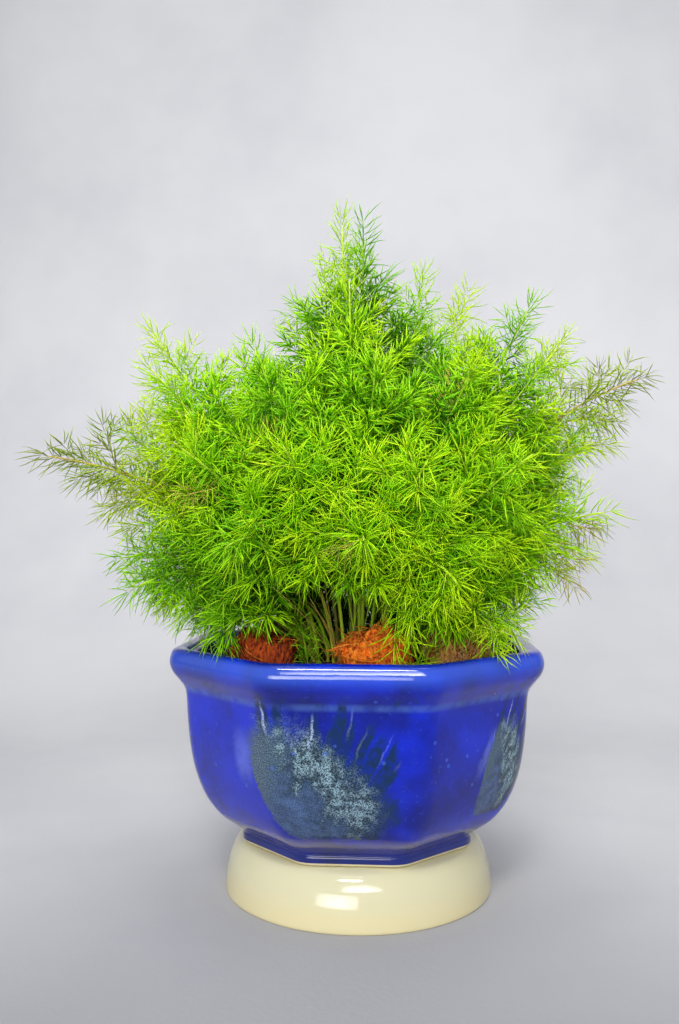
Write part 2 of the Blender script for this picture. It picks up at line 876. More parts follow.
def dress(piece: Object, slot: Slot, nodes: tuple[str, ...] = (),
          material: Material | None = None) -> None:
    """Give a piece its body, its slot, its material and the solids that it replaces.

    Args:
        piece: The finished piece.
        slot: Its finish in the record.
        nodes: The solids that it stands for.
        material: Its material, where it has none yet.
    """
    if material:
        piece.data.materials.clear()
        piece.data.materials.append(material)
    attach(piece, BODY)
    if nodes:
        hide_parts(*nodes)
    log.info("%s: %d faces", piece.name, len(piece.data.polygons))


def mesh_from(shape: BMesh, name: str, smooth: bool = True) -> Mesh:
    """Turn a bmesh into a mesh and free it.

    Args:
        shape: The shape.
        name: The mesh's name.
        smooth: Whether its faces are shaded smooth.

    Returns:
        The mesh.
    """
    for face in shape.faces:
        face.smooth = smooth
    mesh = bpy.data.meshes.new(name)
    shape.to_mesh(mesh)
    shape.free()
    return mesh


def bridge(shape: BMesh, lower: list[BMVert], upper: list[BMVert]) -> None:
    """Join two rings of vertices with a band of faces."""
    for corners in zip(lower, lower[1:] + lower[:1], upper[1:] + upper[:1], upper):
        shape.faces.new(corners)


def cap(shape: BMesh, ring: list[BMVert], point: BMVert) -> None:
    """Close a ring of vertices with a fan of faces round a point."""
    for near, far in zip(ring, ring[1:] + ring[:1]):
        shape.faces.new((near, far, point))


def smooth_rows(rows: Rows, steps: int) -> list[tuple[float, ...]]:
    """Run a smooth curve through rows of numbers.

    Args:
        rows: The rows that the curve passes.
        steps: How many parts each span gets.

    Returns:
        The finer rows.
    """
    ends = np.array([rows[0], *rows, rows[-1]], float)
    finer = []
    for before, start, end, after in zip(ends, ends[1:], ends[2:], ends[3:]):
        for step in range(steps):
            share = step / steps
            leaving = 0.5 * (end - before) * share * (1 - share) ** 2
            arriving = 0.5 * (after - start) * share ** 2 * (1 - share)
            ease = share * share * (3 - 2 * share)
            finer.append((start + ease * (end - start) + (leaving - arriving)).tolist())
    return finer + [rows[-1]]


@dataclass(frozen=True)
class Octagon:
    """Rings of eight flat sides with round corners.

    Args:
        corner_points: Points on each round corner.
        side_points: Points on each flat side, between its corners.
    """

    corner_points: int = 9
    side_points: int = 6
    sides: int = 8

    def ring(self, apothem: float, corner: float, height: float) -> list[Vector]:
        """Return one ring, anticlockwise from above.

        Args:
            apothem: Distance from the axis to a flat side, in metres.
            corner: Radius of a round corner, in metres.
            height: Height of the ring, in metres.

        Returns:
            The ring's points.
        """
        reach = (apothem - corner) / math.cos(math.pi / self.sides)
        arcs = []
        for side in range(self.sides):
            middle = 2 * math.pi * (side + 0.5) / self.sides
            centre = Vector((reach * math.cos(middle), reach * math.sin(middle), height))
            turns = np.linspace(-1, 1, self.corner_points) * math.pi / self.sides + middle
            arcs.append([centre + corner * Vector((math.cos(turn), math.sin(turn), 0)) for turn in turns])
        points = []
        for arc, following in zip(arcs, arcs[1:] + arcs[:1]):
            points += arc
            for step in range(1, self.side_points + 1):
                points.append(arc[-1].lerp(following[0], step / (self.side_points + 1)))
        return points

    @staticmethod
    def reach_of(places: np.ndarray) -> np.ndarray:
        """Return the apothem of the octagon that each place lies on."""
        turns = np.arange(8) * math.pi / 4
        return np.max(places[:, :1] * np.cos(turns) + places[:, 1:2] * np.sin(turns), axis=1)


def loft(name: str, rings: list[list[Vector]], closed: bool) -> Mesh:
    """Join rings into a wall, capped at both ends unless it closes on itself.

    Args:
        name: The mesh's name.
        rings: Rings of equal length.
        closed: Whether the last ring joins the first.

    Returns:
        The mesh, with its faces pointing out.
    """
    shape = bmesh.new()
    loops = [[shape.verts.new(point) for point in ring] for ring in rings]
    for lower, upper in zip(loops, loops[1:] + (loops[:1] if closed else [])):
        bridge(shape, lower, upper)
    for loop in (() if closed else (loops[0], loops[-1])):
        middle = sum((vertex.co for vertex in loop), Vector()) / len(loop)
        cap(shape, loop, shape.verts.new(middle))
    bmesh.ops.recalc_face_normals(shape, faces=shape.faces)
    return mesh_from(shape, name)


@dataclass(frozen=True)
class Stand:
    """The round stand: an upturned glazed dish, hollow underneath.

    Args:
        height: Its height in metres.
        foot: Radius at the floor in metres.
        wall: Its wall's thickness in metres.
        steps: Sides round its axis.
        shoulder: How far each point of its rounded side lies inward and down, in millimetres.
    """

    height: float = 26 * MM
    foot: float = 67.2 * MM
    wall: float = 5.2 * MM
    steps: int = 96
    shoulder: Rows = (
        (20, 0), (12, 0), (8.2, 0.9), (6.2, 2.5), (4.5, 4.9), (3.0, 8.2), (1.7, 12.6), (0.7, 18),
    )
    pinch: float = 0.3 * MM

    def profile(self) -> Rows:
        """Run the outline from the top's middle round to the hollow's middle.

        Returns:
            Radius and height of each point, in metres.
        """
        foot, inner, under = self.foot, self.foot - self.wall, self.height - self.wall
        return (
            (self.pinch, self.height),
            *((foot - inward * MM, self.height - down * MM) for inward, down in self.shoulder),
            (foot, 1.6 * MM), (foot - 0.9 * MM, 0), (inner + 0.6 * MM, 0), (inner, 1.0 * MM),
            (inner - 2.4 * MM, under - 5 * MM), (inner - 6 * MM, under), (inner - 16 * MM, under),
            (self.pinch, under),
        )

    def build(self, glaze: Material) -> None:
        """Turn the profile about the axis and dress it.

        Args:
            glaze: The cream glaze.
        """
        turns = (2 * math.pi * step / self.steps for step in range(self.steps))
        around = [(math.cos(turn), math.sin(turn)) for turn in turns]
        rings = []
        for radius, level in smooth_rows(self.profile(), 3):
            level = min(max(level, 0.0), self.height)
            rings.append([Vector((radius * across, radius * away, level)) for across, away in around])
        piece = place_object("glazed_stand", loft("glazed_stand", rings, closed=False))
        dress(piece, Slot.CREAM, ("stand",), glaze)


@dataclass(frozen=True)
class Pot:
    """The octagonal pot: coved foot, swelling wall, neck and rolled lip.

    Args:
        outer: Apothem, corner radius and height of the outer wall's rings, in millimetres.
        inner: The same for the inner wall, from the lip down.
        shape: The octagon that all rings share.
    """

    outer: Rows = (
        (55.0, 13.5, 26.3), (56.0, 14.0, 27.4), (56.0, 14.0, 29.8), (55.7, 13.9, 31.4),
        (57.4, 14.2, 33.2), (61.4, 15.0, 36.2), (67.6, 16.0, 41.4), (73.6, 16.0, 50.4),
        (77.9, 16.0, 62.0), (80.3, 16.0, 74.0), (81.6, 16.0, 87.0), (82.3, 16.0, 99.0),
        (83.4, 16.3, 103.4), (86.0, 17.0, 107.0), (88.8, 17.6, 111.0), (90.0, 18.0, 115.6),
        (88.6, 17.5, 120.6), (85.6, 16.5, 122.0), (82.4, 15.0, 121.5),
    )
    inner: Rows = (
        (82.4, 15.0, 121.5), (80.4, 14.0, 119.4), (79.0, 13.5, 114.0), (76.2, 13.0, 92.0),
        (71.0, 12.5, 62.0), (58.0, 12.0, 43.5), (44.0, 10.0, 39.0),
    )
    shape: Octagon = Octagon()
    drain: float = 8 * MM
    underside: float = 31 * MM
    foot_inner: Range = (50.5 * MM, 12 * MM)

    def build(self, glaze: Material) -> None:
        """Loft the wall through its rings and dress it.

        Args:
            glaze: The cobalt glaze.
        """
        rows = smooth_rows(self.outer, 4)[:-1] + smooth_rows(self.inner, 3)
        rings = [self.shape.ring(*(value * MM for value in row)) for row in rows]
        for level in (self.inner[-1][2] * MM, self.underside):
            hole = [Vector((point.x, point.y, 0)).normalized() * self.drain for point in rings[-1]]
            rings.append([point + Vector((0, 0, level)) for point in hole])
        apothem, corner = self.foot_inner
        rings.append(self.shape.ring(apothem - 1.5 * MM, corner, self.underside))
        rings.append(self.shape.ring(apothem, corner, self.outer[0][2] * MM))
        piece = place_object("glazed_pot", loft("glazed_pot", rings, closed=True))
        dress(piece, Slot.COBALT, ("pot",), glaze)


@dataclass(frozen=True)
class Soil:
    """The potting mix: a low mound with clods, and loose grains on it.

    Args:
        edge: Height at the pot's wall in metres.
        mound: How much higher its middle is.
        clods: Height of its clods.
        reach: Apothem that it fills at the edge.
        wall: Apothem, corner radius and height of the pot's inside, in millimetres.
        gap: How far its side stays off that wall, in millimetres.
        rings: Rings of its top.
        shape: The octagon that all rings share.
    """

    edge: float = 109 * MM
    mound: float = 5 * MM
    clods: float = 1.4 * MM
    reach: float = 79 * MM
    wall: Rows = (
        (44.0, 10.0, 39.4), (58.0, 12.0, 43.9), (71.0, 12.5, 62.4), (76.0, 13.0, 92.0), (77.8, 13.3, 107.0),
    )
    gap: float = 0.4
    rings: int = 36
    shape: Octagon = Octagon(7, 8)

    def height(self, x: float, y: float) -> float:
        """Work out how high the mound with its clods is at a point.

        Args:
            x: Across, in metres.
            y: Away from the front, in metres.

        Returns:
            The height in metres.
        """
        share = math.hypot(x, y) / self.reach
        clods = noise.noise(Vector((x, y, 0)) / (11 * MM)) * self.clods
        return self.edge + self.mound * max(0.0, 1 - share * share) + clods

    def top_rings(self) -> list[list[Vector]]:
        """Lay the rings of the top, from the wall inward.

        Returns:
            The rings.
        """
        rings = []
        edge = self.shape.ring(78.1 * MM, 13.3 * MM, self.edge)
        for index in range(self.rings):
            share = 1 - (index / self.rings) ** 1.2 * 0.985
            ring = [Vector((point.x * share, point.y * share, 0)) for point in edge]
            for point in ring:
                crumb = noise.noise(point / (3.1 * MM)) * 1.1 * MM
                crumb += noise.noise(point / (1.3 * MM)) * 0.4 * MM
                point.z = self.height(point.x, point.y) + crumb * min(1.0, 6 * (1 - share) + 0.2)
            rings.append(ring)
        return rings

    def build(self, mix: Material) -> None:
        """Make the body of mix and dress it.

        Args:
            mix: The soil's finish.
        """
        rings = [self.shape.ring((apothem - self.gap) * MM, corner * MM, level * MM)
                 for apothem, corner, level in self.wall]
        piece = place_object("potting_mix", loft("potting_mix", rings + self.top_rings(), closed=False))
        dress(piece, Slot.SOIL, ("soil",), mix)

    def open_top(self) -> Mesh:
        """Make the top alone, as a surface that things are scattered on.

        Returns:
            Its mesh.
        """
        shape = bmesh.new()
        loops = [[shape.verts.new(point) for point in ring] for ring in self.top_rings()]
        for outer, inner in zip(loops, loops[1:]):
            bridge(shape, outer, inner)
        return mesh_from(shape, "soil_top")


class Growth(Enum):
    """How fresh a frond's needles are, as a place from dark green to straw."""

    DARK = 0.36
    FULL = 0.46
    FRESH = 0.56
    YOUNG = 0.68
    DRYING = 0.72
    OLIVE = 0.86


@dataclass(frozen=True)
class Frond:
    """One frond: a wiry stem with side shoots and needles.

    Args:
        name: Its solid's name, without what all fronds share.
        tip: Where its stem ends, in millimetres.
        droop: From 0, rising, to 1, arching down.
        growth: How fresh its needles are.
        bow: How far its middle bows to the left of its way out, in millimetres.
        hanging: Tips of sprays that hang from it over the soil or the lip, in millimetres.
    """

    name: str
    tip: Point
    droop: float
    growth: Growth = Growth.FULL
    bow: float = 0
    hanging: tuple[Point, ...] = ()

    @property
    def node(self) -> str:
        """Return its solid's full name."""
        return "frond_" + self.name


FRONDS = (
    Frond("peak", (3, -5, 336), 0.0, Growth.DARK),
    Frond("peak_behind", (-10, 26, 348), 0.0, Growth.FRESH),
    Frond("peak_left", (-18, 8, 314), 0.0, Growth.YOUNG),
    Frond("top_right", (90, 11, 297), 0.0, Growth.DARK),
    Frond("top_right_behind", (60, 53, 314), 0.0, Growth.YOUNG),
    Frond("top_middle", (34, 22, 316), 0.0, Growth.FRESH),
    Frond("right_shoulder", (102, -19, 272), 0.1, Growth.YOUNG),
    Frond("far_right", (155, 40, 262), 0.35, Growth.OLIVE, -12),
    Frond("right_upper", (120, 15, 233), 0.1, Growth.FRESH, -6),
    Frond("right_low", (126, -7, 188), 0.3, Growth.DRYING),
    Frond("right_lower", (99, -30, 170), 0.7, Growth.YOUNG),
    Frond("right_bottom", (88, 20, 150), 0.9, Growth.DRYING),
    Frond("right_rim", (66, -61, 132), 1.0, Growth.FRESH, 6, ((63, -62, 121), (74, -46, 127))),
    Frond("left_shoulder", (-106, -6, 281), 0.0, Growth.YOUNG),
    Frond("left_upper", (-99, -42, 258), 0.1, Growth.YOUNG),
    Frond("far_left", (-152, -38, 215), 0.35, Growth.OLIVE),
    Frond("left_middle", (-127, 12, 232), 0.1, Growth.FULL),
    Frond("left_low", (-122, -13, 164), 0.5, Growth.FULL),
    Frond("left_lower", (-104, -54, 150), 0.8, Growth.FULL),
    Frond("left_bottom", (-88, 20, 142), 0.9, Growth.FULL),
    Frond("left_rim", (-56, -71, 133), 1.0, Growth.FULL, 0, ((-56, -63, 121), (-66, -51, 127))),
    Frond("front_right", (46, -92, 156), 0.9, Growth.YOUNG, 0, ((20, -71, 124), (27, -77, 131))),
    Frond("front_centre", (8, -111, 174), 0.6, Growth.FRESH),
    Frond("front_left", (-50, -103, 171), 0.7, Growth.FULL),
    Frond("top_left", (-63, 17, 272), 0.0, Growth.YOUNG),
    Frond("face_left", (-26, -100, 214), 0.2, Growth.YOUNG),
    Frond("face_right", (34, -98, 208), 0.2, Growth.YOUNG),
    Frond("side_right", (80, -76, 212), 0.2, Growth.YOUNG),
    Frond("side_left", (-78, -78, 218), 0.2, Growth.YOUNG),
    Frond("brow_left", (-44, -66, 262), 0.1, Growth.FRESH),
    Frond("brow_middle", (12, -72, 262), 0.1, Growth.YOUNG),
    Frond("brow_right", (60, -54, 262), 0.1, Growth.YOUNG),
    Frond("crown_front", (-2, -42, 298), 0.0, Growth.YOUNG),
    Frond("back_centre", (2, 114, 176), 0.6, Growth.FULL),
    Frond("back_right", (58, 98, 200), 0.2, Growth.FRESH),
    Frond("back_left", (-62, 98, 202), 0.2, Growth.FULL),
    Frond("back_right_upper", (98, 66, 232), 0.1, Growth.FULL),
    Frond("back_left_upper", (-104, 62, 236), 0.1, Growth.FRESH),
    Frond("back_crown_right", (30, 86, 262), 0.1, Growth.FRESH),
    Frond("back_crown_left", (-36, 84, 268), 0.1, Growth.YOUNG),
    Frond("back_right_low", (82, 74, 156), 0.8, Growth.FULL),
    Frond("back_left_low", (-84, 76, 154), 0.8, Growth.DARK),
)


def bezier(corners: tuple[np.ndarray, ...], count: int) -> np.ndarray:
    """Return points along a Bezier curve.

    Args:
        corners: Its control corners.
        count: How many points.

    Returns:
        The points, one a row.
    """
    corners = [np.asarray(corner, float) for corner in corners]
    steps = np.linspace(0, 1, count)[:, None]
    degree = len(corners) - 1
    return sum(math.comb(degree, index) * steps ** index * (1 - steps) ** (degree - index) * corner
               for index, corner in enumerate(corners))


def along(route: np.ndarray, share: float) -> tuple[np.ndarray, np.ndarray]:
    """Return the point and the unit direction at a share of a route's length.

    Args:
        route: Points, one a row.
        share: From 0 at its start to 1 at its end.

    Returns:
        The point and the direction there.
    """
    lengths = np.linalg.norm(np.diff(route, axis=0), axis=1)
    reached = np.concatenate([[0], np.cumsum(lengths)]) / lengths.sum()
    index = min(max(int(np.searchsorted(reached, share)) - 1, 0), len(lengths) - 1)
    part = (share - reached[index]) / (reached[index + 1] - reached[index])
    point = route[index] + part * (route[index + 1] - route[index])
    return point, (route[index + 1] - route[index]) / lengths[index]


def sideways(direction: np.ndarray, turn: float) -> np.ndarray:
    """Turn a vector square to a direction about it.

    Args:
        direction: The direction, as a unit vector.
        turn: The turn in radians.

    Returns:
        The vector.
    """
    side = np.cross(direction, (0, 0, 1))
    side /= np.linalg.norm(side)
    return math.cos(turn) * side + math.sin(turn) * np.cross(direction, side)


class Skeleton:
    """Shoots as lines of points, each point with its thickness, needle size, splay and freshness."""

    usual = {"radius": 0.0, "needle": 0.0, "splay": 1.0, "tone": 0.5, "order": 1.0, "depth": 0.0}

    def __init__(self) -> None:
        """Start with no shoots."""
        self.points: list[np.ndarray] = []
        self.values: dict[str, list[np.ndarray]] = {name: [] for name in self.usual}
        self.edges: list[tuple[int, int]] = []
        self.count = 0

    def add(self, route: np.ndarray, **values: np.ndarray | float) -> None:
        """Add one shoot.

        Args:
            route: Its points, base first.
            values: The named values at its points, or one for all; the usual ones stand in for the rest.
        """
        size = len(route)
        self.points.append(route)
        for name, usual in self.usual.items():
            self.values[name].append(np.broadcast_to(np.asarray(values.get(name, usual), float), size))
        self.edges += [(self.count + index, self.count + index + 1) for index in range(size - 1)]
        self.count += size

    def mesh(self, name: str) -> Mesh:
        """Turn the shoots into a mesh of edges with attributes.

        Args:
            name: The mesh's name.

        Returns:
            The mesh.
        """
        mesh = bpy.data.meshes.new(name)
        mesh.from_pydata(np.vstack(self.points), self.edges, [])
        for label, held in self.values.items():
            attribute = mesh.attributes.new(label, "FLOAT", "POINT")
            attribute.data.foreach_set("value", np.concatenate(held).astype(np.float32))
        return mesh


@dataclass(frozen=True)
class Sprouts:
    """What turns shoots into pieces with needles.

    Args:
        recipe: The tree that grows needles on shoots.
        needles: The needles to pick from.
        green: The foliage material.
        inner_depth: How deep in the crown the plainer needles start.
        spacing: How far apart the nodes of a shoot are.
        whorl: How many needles a node has.
        splay: How far they stand out from the shoot, in radians.
        droop: How far the tip of a level needle hangs.
    """

    recipe: Recipe
    needles: Collection
    green: Material
    inner_depth: float = 31 * MM
    spacing: float = 3.25 * MM
    whorl: int = 5
    splay: float = math.radians(73)
    droop: float = 2.2 * MM

    def make(self, name: str, shoots: Skeleton, seed: int, nodes: tuple[str, ...] = ()) -> None:
        """Make one piece of foliage and dress it.

        Args:
            name: The piece's name.
            shoots: Its shoots.
            seed: The seed of its needles' turns and sizes.
            nodes: The solids that it stands for.
        """
        inner = sum("inner" in kind.name for kind in self.needles.objects)
        dress(self.recipe.make(name, shoots.mesh(name + "_lines"), {
            "Needles": self.needles, "Fine Kinds": len(self.needles.objects) - inner, "Inner Kinds": inner,
            "Inner Depth": self.inner_depth, "Node Spacing": self.spacing, "Needles a Node": self.whorl,
            "Splay": self.splay, "Droop": self.droop, "Seed": seed, "Finish": self.green,
        }), Slot.FERN, nodes)


@dataclass(frozen=True)
class Foliage:
    """All fronds: stems spread over the clump, with side shoots by a seeded rule.

    Args:
        soil: The soil that the stems stand in.
        lip: The pot's lip as apothem and height, with the room that shoots leave round it.
        windows: Left, right, back and height in millimetres of where stems and husk show under the skirt.
        crown: The crown's radius in millimetres at some heights.
        variety: How far a spray's freshness may lie from its frond's.
        dry_shares: How many sprays are dry on a drying frond, and on any other.
    """

    soil: Soil
    root_depth: float = 12 * MM
    stem_radius: float = 0.95 * MM
    stem_tip_radius: float = 0.42 * MM
    stem_points: int = 22
    spacing: float = 5.2 * MM
    clump: float = 29 * MM
    sprays: int = 22
    first_spray: float = 0.38
    last_spray: float = 0.91
    short_spray: float = 12 * MM
    long_spray: float = 44 * MM
    spread: float = math.radians(56)
    lift: float = 0.14
    shoot_radius: float = 0.34 * MM
    twig_spots: tuple[float, ...] = (0.36, 0.66)
    twig_least: float = 19 * MM
    shade: float = 0.34
    dark_depth: float = 54 * MM
    rise: float = 0.07
    rise_middle: float = 215 * MM
    rise_half: float = 85 * MM
    freshest: float = 0.77
    freshest_spray: float = 0.73
    variety: Range = (-0.21, 0.13)
    dry_shares: Range = (0.26, 0.008)
    dry_tones: Range = (0.9, 0.95)
    lip: Point = (84.6 * MM, 113.5 * MM, 12.5 * MM)
    windows: Rows = (
        (-60, -31, -24, 141), (-31, 23, -24, 156), (44, 70, -24, 134), (76, 180, 90, 145),
    )
    chip_line: float = -24 * MM
    crown: Rows = ((120, 66), (150, 100), (190, 118), (240, 116), (275, 84), (300, 50), (330, 22), (350, 8))
    crown_narrowing: float = 0.78
    chip_tops: float = 27 * MM
    soil_room: float = 9 * MM

    def roots(self) -> dict[str, np.ndarray]:
        """Spread the stems' feet over the clump, each on its own frond's side and apart from the rest.

        Returns:
            Where each stem starts in the soil, by its frond's name.
        """
        tips = np.array([frond.tip[:2] for frond in FRONDS], float) * MM
        reach = np.linalg.norm(tips, axis=1, keepdims=True)
        feet = tips / reach * self.clump * np.sqrt(np.minimum(reach / reach.max(), 1))
        for _ in range(60):
            away = feet[:, None] - feet[None]
            gap = np.linalg.norm(away, axis=2) + np.eye(len(feet))
            push = np.clip(self.spacing - gap, 0, None) * (gap < self.spacing)
            feet += 0.3 * (away / gap[:, :, None] * push[:, :, None]).sum(axis=1)
        level = self.soil.edge - self.root_depth
        return {frond.name: np.array([*foot, level]) for frond, foot in zip(FRONDS, feet)}

    def stem(self, frond: Frond, root: np.ndarray) -> np.ndarray:
        """Return one stem's points: straight out of the soil, then curving out to its tip.

        Args:
            frond: The frond.
            root: Where its stem starts in the soil.

        Returns:
            The points, root first.
        """
        tip = np.array(frond.tip, float) * MM
        sprout = root + np.array([0, 0, self.root_depth + 8 * MM])
        rise = tip[2] - sprout[2]
        outward = np.array([*(tip - sprout)[:2], 0.0])
        reach = np.linalg.norm(outward)
        left = np.array([-outward[1], outward[0], 0]) / reach * frond.bow * MM
        first = sprout + 0.5 * left + 0.10 * outward
        first[2] += 0.42 * rise + (0.10 + 0.34 * frond.droop) * reach
        second = sprout + 0.62 * outward + left
        second[2] = tip[2] - 0.30 * rise * (1 - frond.droop) + 0.30 * reach * frond.droop
        return np.vstack([root, bezier((sprout, first, second, tip), self.stem_points)])

    def plan(self, frond: Frond) -> list[tuple[float, float, float]]:
        """Draw the sprays of a frond, tip first.

        Args:
            frond: The frond.

        Returns:
            The share of the stem, the turn and the length of each spray.
        """
        draw = random.Random(f"{SEED} {frond.node}")
        turn = draw.uniform(0, 2 * math.pi)
        plan = []
        for index in range(self.sprays):
            share = index / (self.sprays - 1)
            spot = self.last_spray - (self.last_spray - self.first_spray) * share ** 0.85
            grown = math.sin(math.radians(140) * share ** 1.15)
            length = self.short_spray + (self.long_spray - self.short_spray) * grown
            plan.append((spot, turn, length * draw.uniform(0.85, 1.15)))
            turn += GOLDEN_ANGLE + draw.uniform(-0.2, 0.2)
        return plan

    def keep_clear(self, route: np.ndarray, hanging: bool = False) -> np.ndarray:
        """Lift a shoot off the soil and push it clear of the pot's lip.

        Args:
            route: The shoot's points.
            hanging: Whether it hangs in front of the chips, and not over them.

        Returns:
            The points, moved where they were too close.
        """
        moved = route.copy()
        apothem, level, room = self.lip
        reach = Octagon.reach_of(moved)
        inside = reach < apothem
        over_chips = inside & (moved[:, 1] < self.chip_line) & (not hanging)
        floor = self.soil.edge + np.where(over_chips, self.chip_tops, self.soil_room)
        moved[:, 2] = np.where(inside, np.maximum(moved[:, 2], floor), moved[:, 2])
        lift = np.clip(self.window_floor(moved) - moved[:, 2], 0, None) * (not hanging)
        moved[:, 2] += lift * np.clip(np.linspace(0, 3, len(moved)), 0, 1)
        offset = np.stack([reach - apothem, moved[:, 2] - level], axis=1)
        gap = np.maximum(np.linalg.norm(offset, axis=1), 1e-6)
        push = np.clip(room - gap, 0, None)[:, None] * offset / gap[:, None]
        outward = moved[:, :2] / np.maximum(np.linalg.norm(moved[:, :2], axis=1, keepdims=True), 1e-6)
        moved[:, :2] += outward * push[:, :1]
        moved[:, 2] += push[:, 1]
        return moved

    def depth(self, places: np.ndarray) -> np.ndarray:
        """Measure how far each place lies under the crown's skin.

        Args:
            places: Points, one a row.

        Returns:
            A depth for each, in metres.
        """
        levels, radii = (np.array(column) * MM for column in zip(*self.crown))
        skin = 0.92 * np.interp(places[:, 2], levels, radii)
        return skin - np.hypot(self.crown_narrowing * places[:, 0], places[:, 1])

    def window_floor(self, places: np.ndarray) -> np.ndarray:
        """Return how low foliage may hang at each place, where stems and husk show under its skirt.

        Args:
            places: Points, one a row.

        Returns:
            A height for each, zero away from the windows.
        """
        lowest = np.zeros(len(places))
        for left, right, back, level in self.windows:
            inside = (places[:, 0] > left * MM) & (places[:, 0] < right * MM) & (places[:, 1] < back * MM)
            lowest = np.where(inside, np.maximum(lowest, level * MM), lowest)
        return lowest

    def grow(self, frond: Frond, root: np.ndarray) -> Skeleton:
        """Return the shoots of one frond.

        Args:
            frond: The frond.
            root: Where its stem starts.

        Returns:
            Its skeleton.
        """
        draw = random.Random(f"{SEED + 7} {frond.node}")
        skeleton = Skeleton()
        stem = self.stem(frond, root)
        share = np.linspace(0, 1, len(stem))
        fresh = frond.growth.value
        bark = draw.choice((0.3, 0.45, 0.6, 0.7, 0.86))
        green = self.shaded(stem, fresh - 0.05 + 0.1 * share, fresh > DRY_TONE)
        skeleton.add(
            stem,
            radius=self.tapered(self.stem_radius, self.stem_tip_radius, len(stem)),
            needle=np.clip((share - self.first_spray) / 0.1, 0, 1) * (1.2 - 0.25 * share ** 8),
            splay=1.06 - 0.35 * share ** 16,
            tone=np.where(share < self.first_spray, bark, green),
            order=0.0,
            depth=self.depth(stem),
        )
        for spot, turn, length in self.plan(frond):
            start, forward = along(stem, spot)
            if start[2] < self.window_floor(start[None])[0] - 4 * MM:
                continue
            out = math.cos(self.spread) * forward + math.sin(self.spread) * sideways(forward, turn)
            end = start + length * out + np.array([0, 0, self.lift * length])
            bend = start + 0.52 * length * out + np.array([0, 0, draw.uniform(-0.05, 0.02) * length])
            route = self.keep_clear(bezier((start, bend, end), 6))
            tone = self.freshness(draw, frond, spot)
            self.add_shoot(skeleton, route, self.shoot_radius, tone, 1.0)
            if length > self.twig_least:
                self.add_twigs(skeleton, draw, route, length, tone)
        for tip in frond.hanging:
            self.add_hanging(skeleton, draw, stem, np.array(tip) * MM, self.freshness(draw, frond, 0.9))
        return skeleton

    def add_hanging(self, skeleton: Skeleton, draw: random.Random, stem: np.ndarray, tip: np.ndarray,
                    tone: float) -> None:
        """Add a spray that hangs from a stem down to a given tip, with its twigs.

        Args:
            skeleton: What it is added to.
            draw: The frond's random draws.
            stem: The stem's points.
            tip: Where the spray ends.
            tone: Its freshness.
        """
        leafy = stem[len(stem) // 3:]
        start = leafy[np.argmin(np.linalg.norm((leafy - tip)[:, :2], axis=1))]
        length = float(np.linalg.norm(tip - start))
        outward = np.array([*(tip - start)[:2], 0.0])
        shoulder = start + 0.75 * outward + np.array([0, 0, 0.25 * length])
        route = self.keep_clear(bezier((start, shoulder, tip + 0.2 * outward, tip), 8), True)
        self.add_shoot(skeleton, route, self.shoot_radius, tone, 1.0)
        for _ in range(2):
            self.add_twigs(skeleton, draw, route, 0.75 * length, tone)

    def add_twigs(self, skeleton: Skeleton, draw: random.Random, spray: np.ndarray, length: float,
                  tone: float) -> None:
        """Add the short twigs of one spray.

        Args:
            skeleton: What they are added to.
            draw: The frond's random draws.
            spray: The spray's points.
            length: The spray's length.
            tone: The spray's freshness.
        """
        turn = draw.uniform(0, 2 * math.pi)
        for spot in self.twig_spots:
            start, forward = along(spray, spot + draw.uniform(-0.05, 0.05))
            turn += math.pi * draw.uniform(0.75, 1.1)
            angle = math.radians(draw.uniform(42, 58))
            out = math.cos(angle) * forward + math.sin(angle) * sideways(forward, turn)
            size = length * draw.uniform(0.30, 0.42)
            end = start + size * (0.86 * out + 0.22 * forward)
            route = self.keep_clear(bezier((start, start + 0.5 * size * out, end), 3))
            self.add_shoot(skeleton, route, 0.75 * self.shoot_radius, tone + draw.uniform(-0.02, 0.08), 0.88)

    def add_shoot(self, skeleton: Skeleton, route: np.ndarray, radius: float, tone: float,
                  needle: float) -> None:
        """Add one side shoot, whose needles get shorter and lean forward at its tip.

        Args:
            skeleton: What it is added to.
            route: Its points, base first.
            radius: Its thickness.
            tone: Its freshness.
            needle: Its needles' size.
        """
        share = np.linspace(0, 1, len(route))
        dry = tone > DRY_TONE
        climb = 0.03 if dry else 0.30
        skeleton.add(
            route,
            radius=self.tapered(radius, 0.5 * radius, len(route)),
            needle=needle * np.minimum(share * 8, 0.95 + 0.1 * share - 0.2 * share ** 4),
            splay=1.05 - 0.4 * share ** 4,
            tone=self.shaded(route, tone + climb * (share - 0.45), dry),
            depth=self.depth(route),
        )

    def shaded(self, route: np.ndarray, tone: np.ndarray, dry: bool) -> np.ndarray:
        """Return freshness along a shoot: duller inside the crown and fresher high up, unless it is dry.

        Args:
            route: The shoot's points.
            tone: Its own freshness at them.
            dry: Whether it is dry.

        Returns:
            A value for each point.
        """
        if dry:
            return np.clip(tone, 0.0, 0.98)
        high = np.clip((route[:, 2] - self.rise_middle) / self.rise_half, -1, 1)
        inward = np.clip(self.depth(route) / self.dark_depth, 0, 1)
        return np.clip(tone + self.rise * high - self.shade * inward, 0.0, self.freshest)

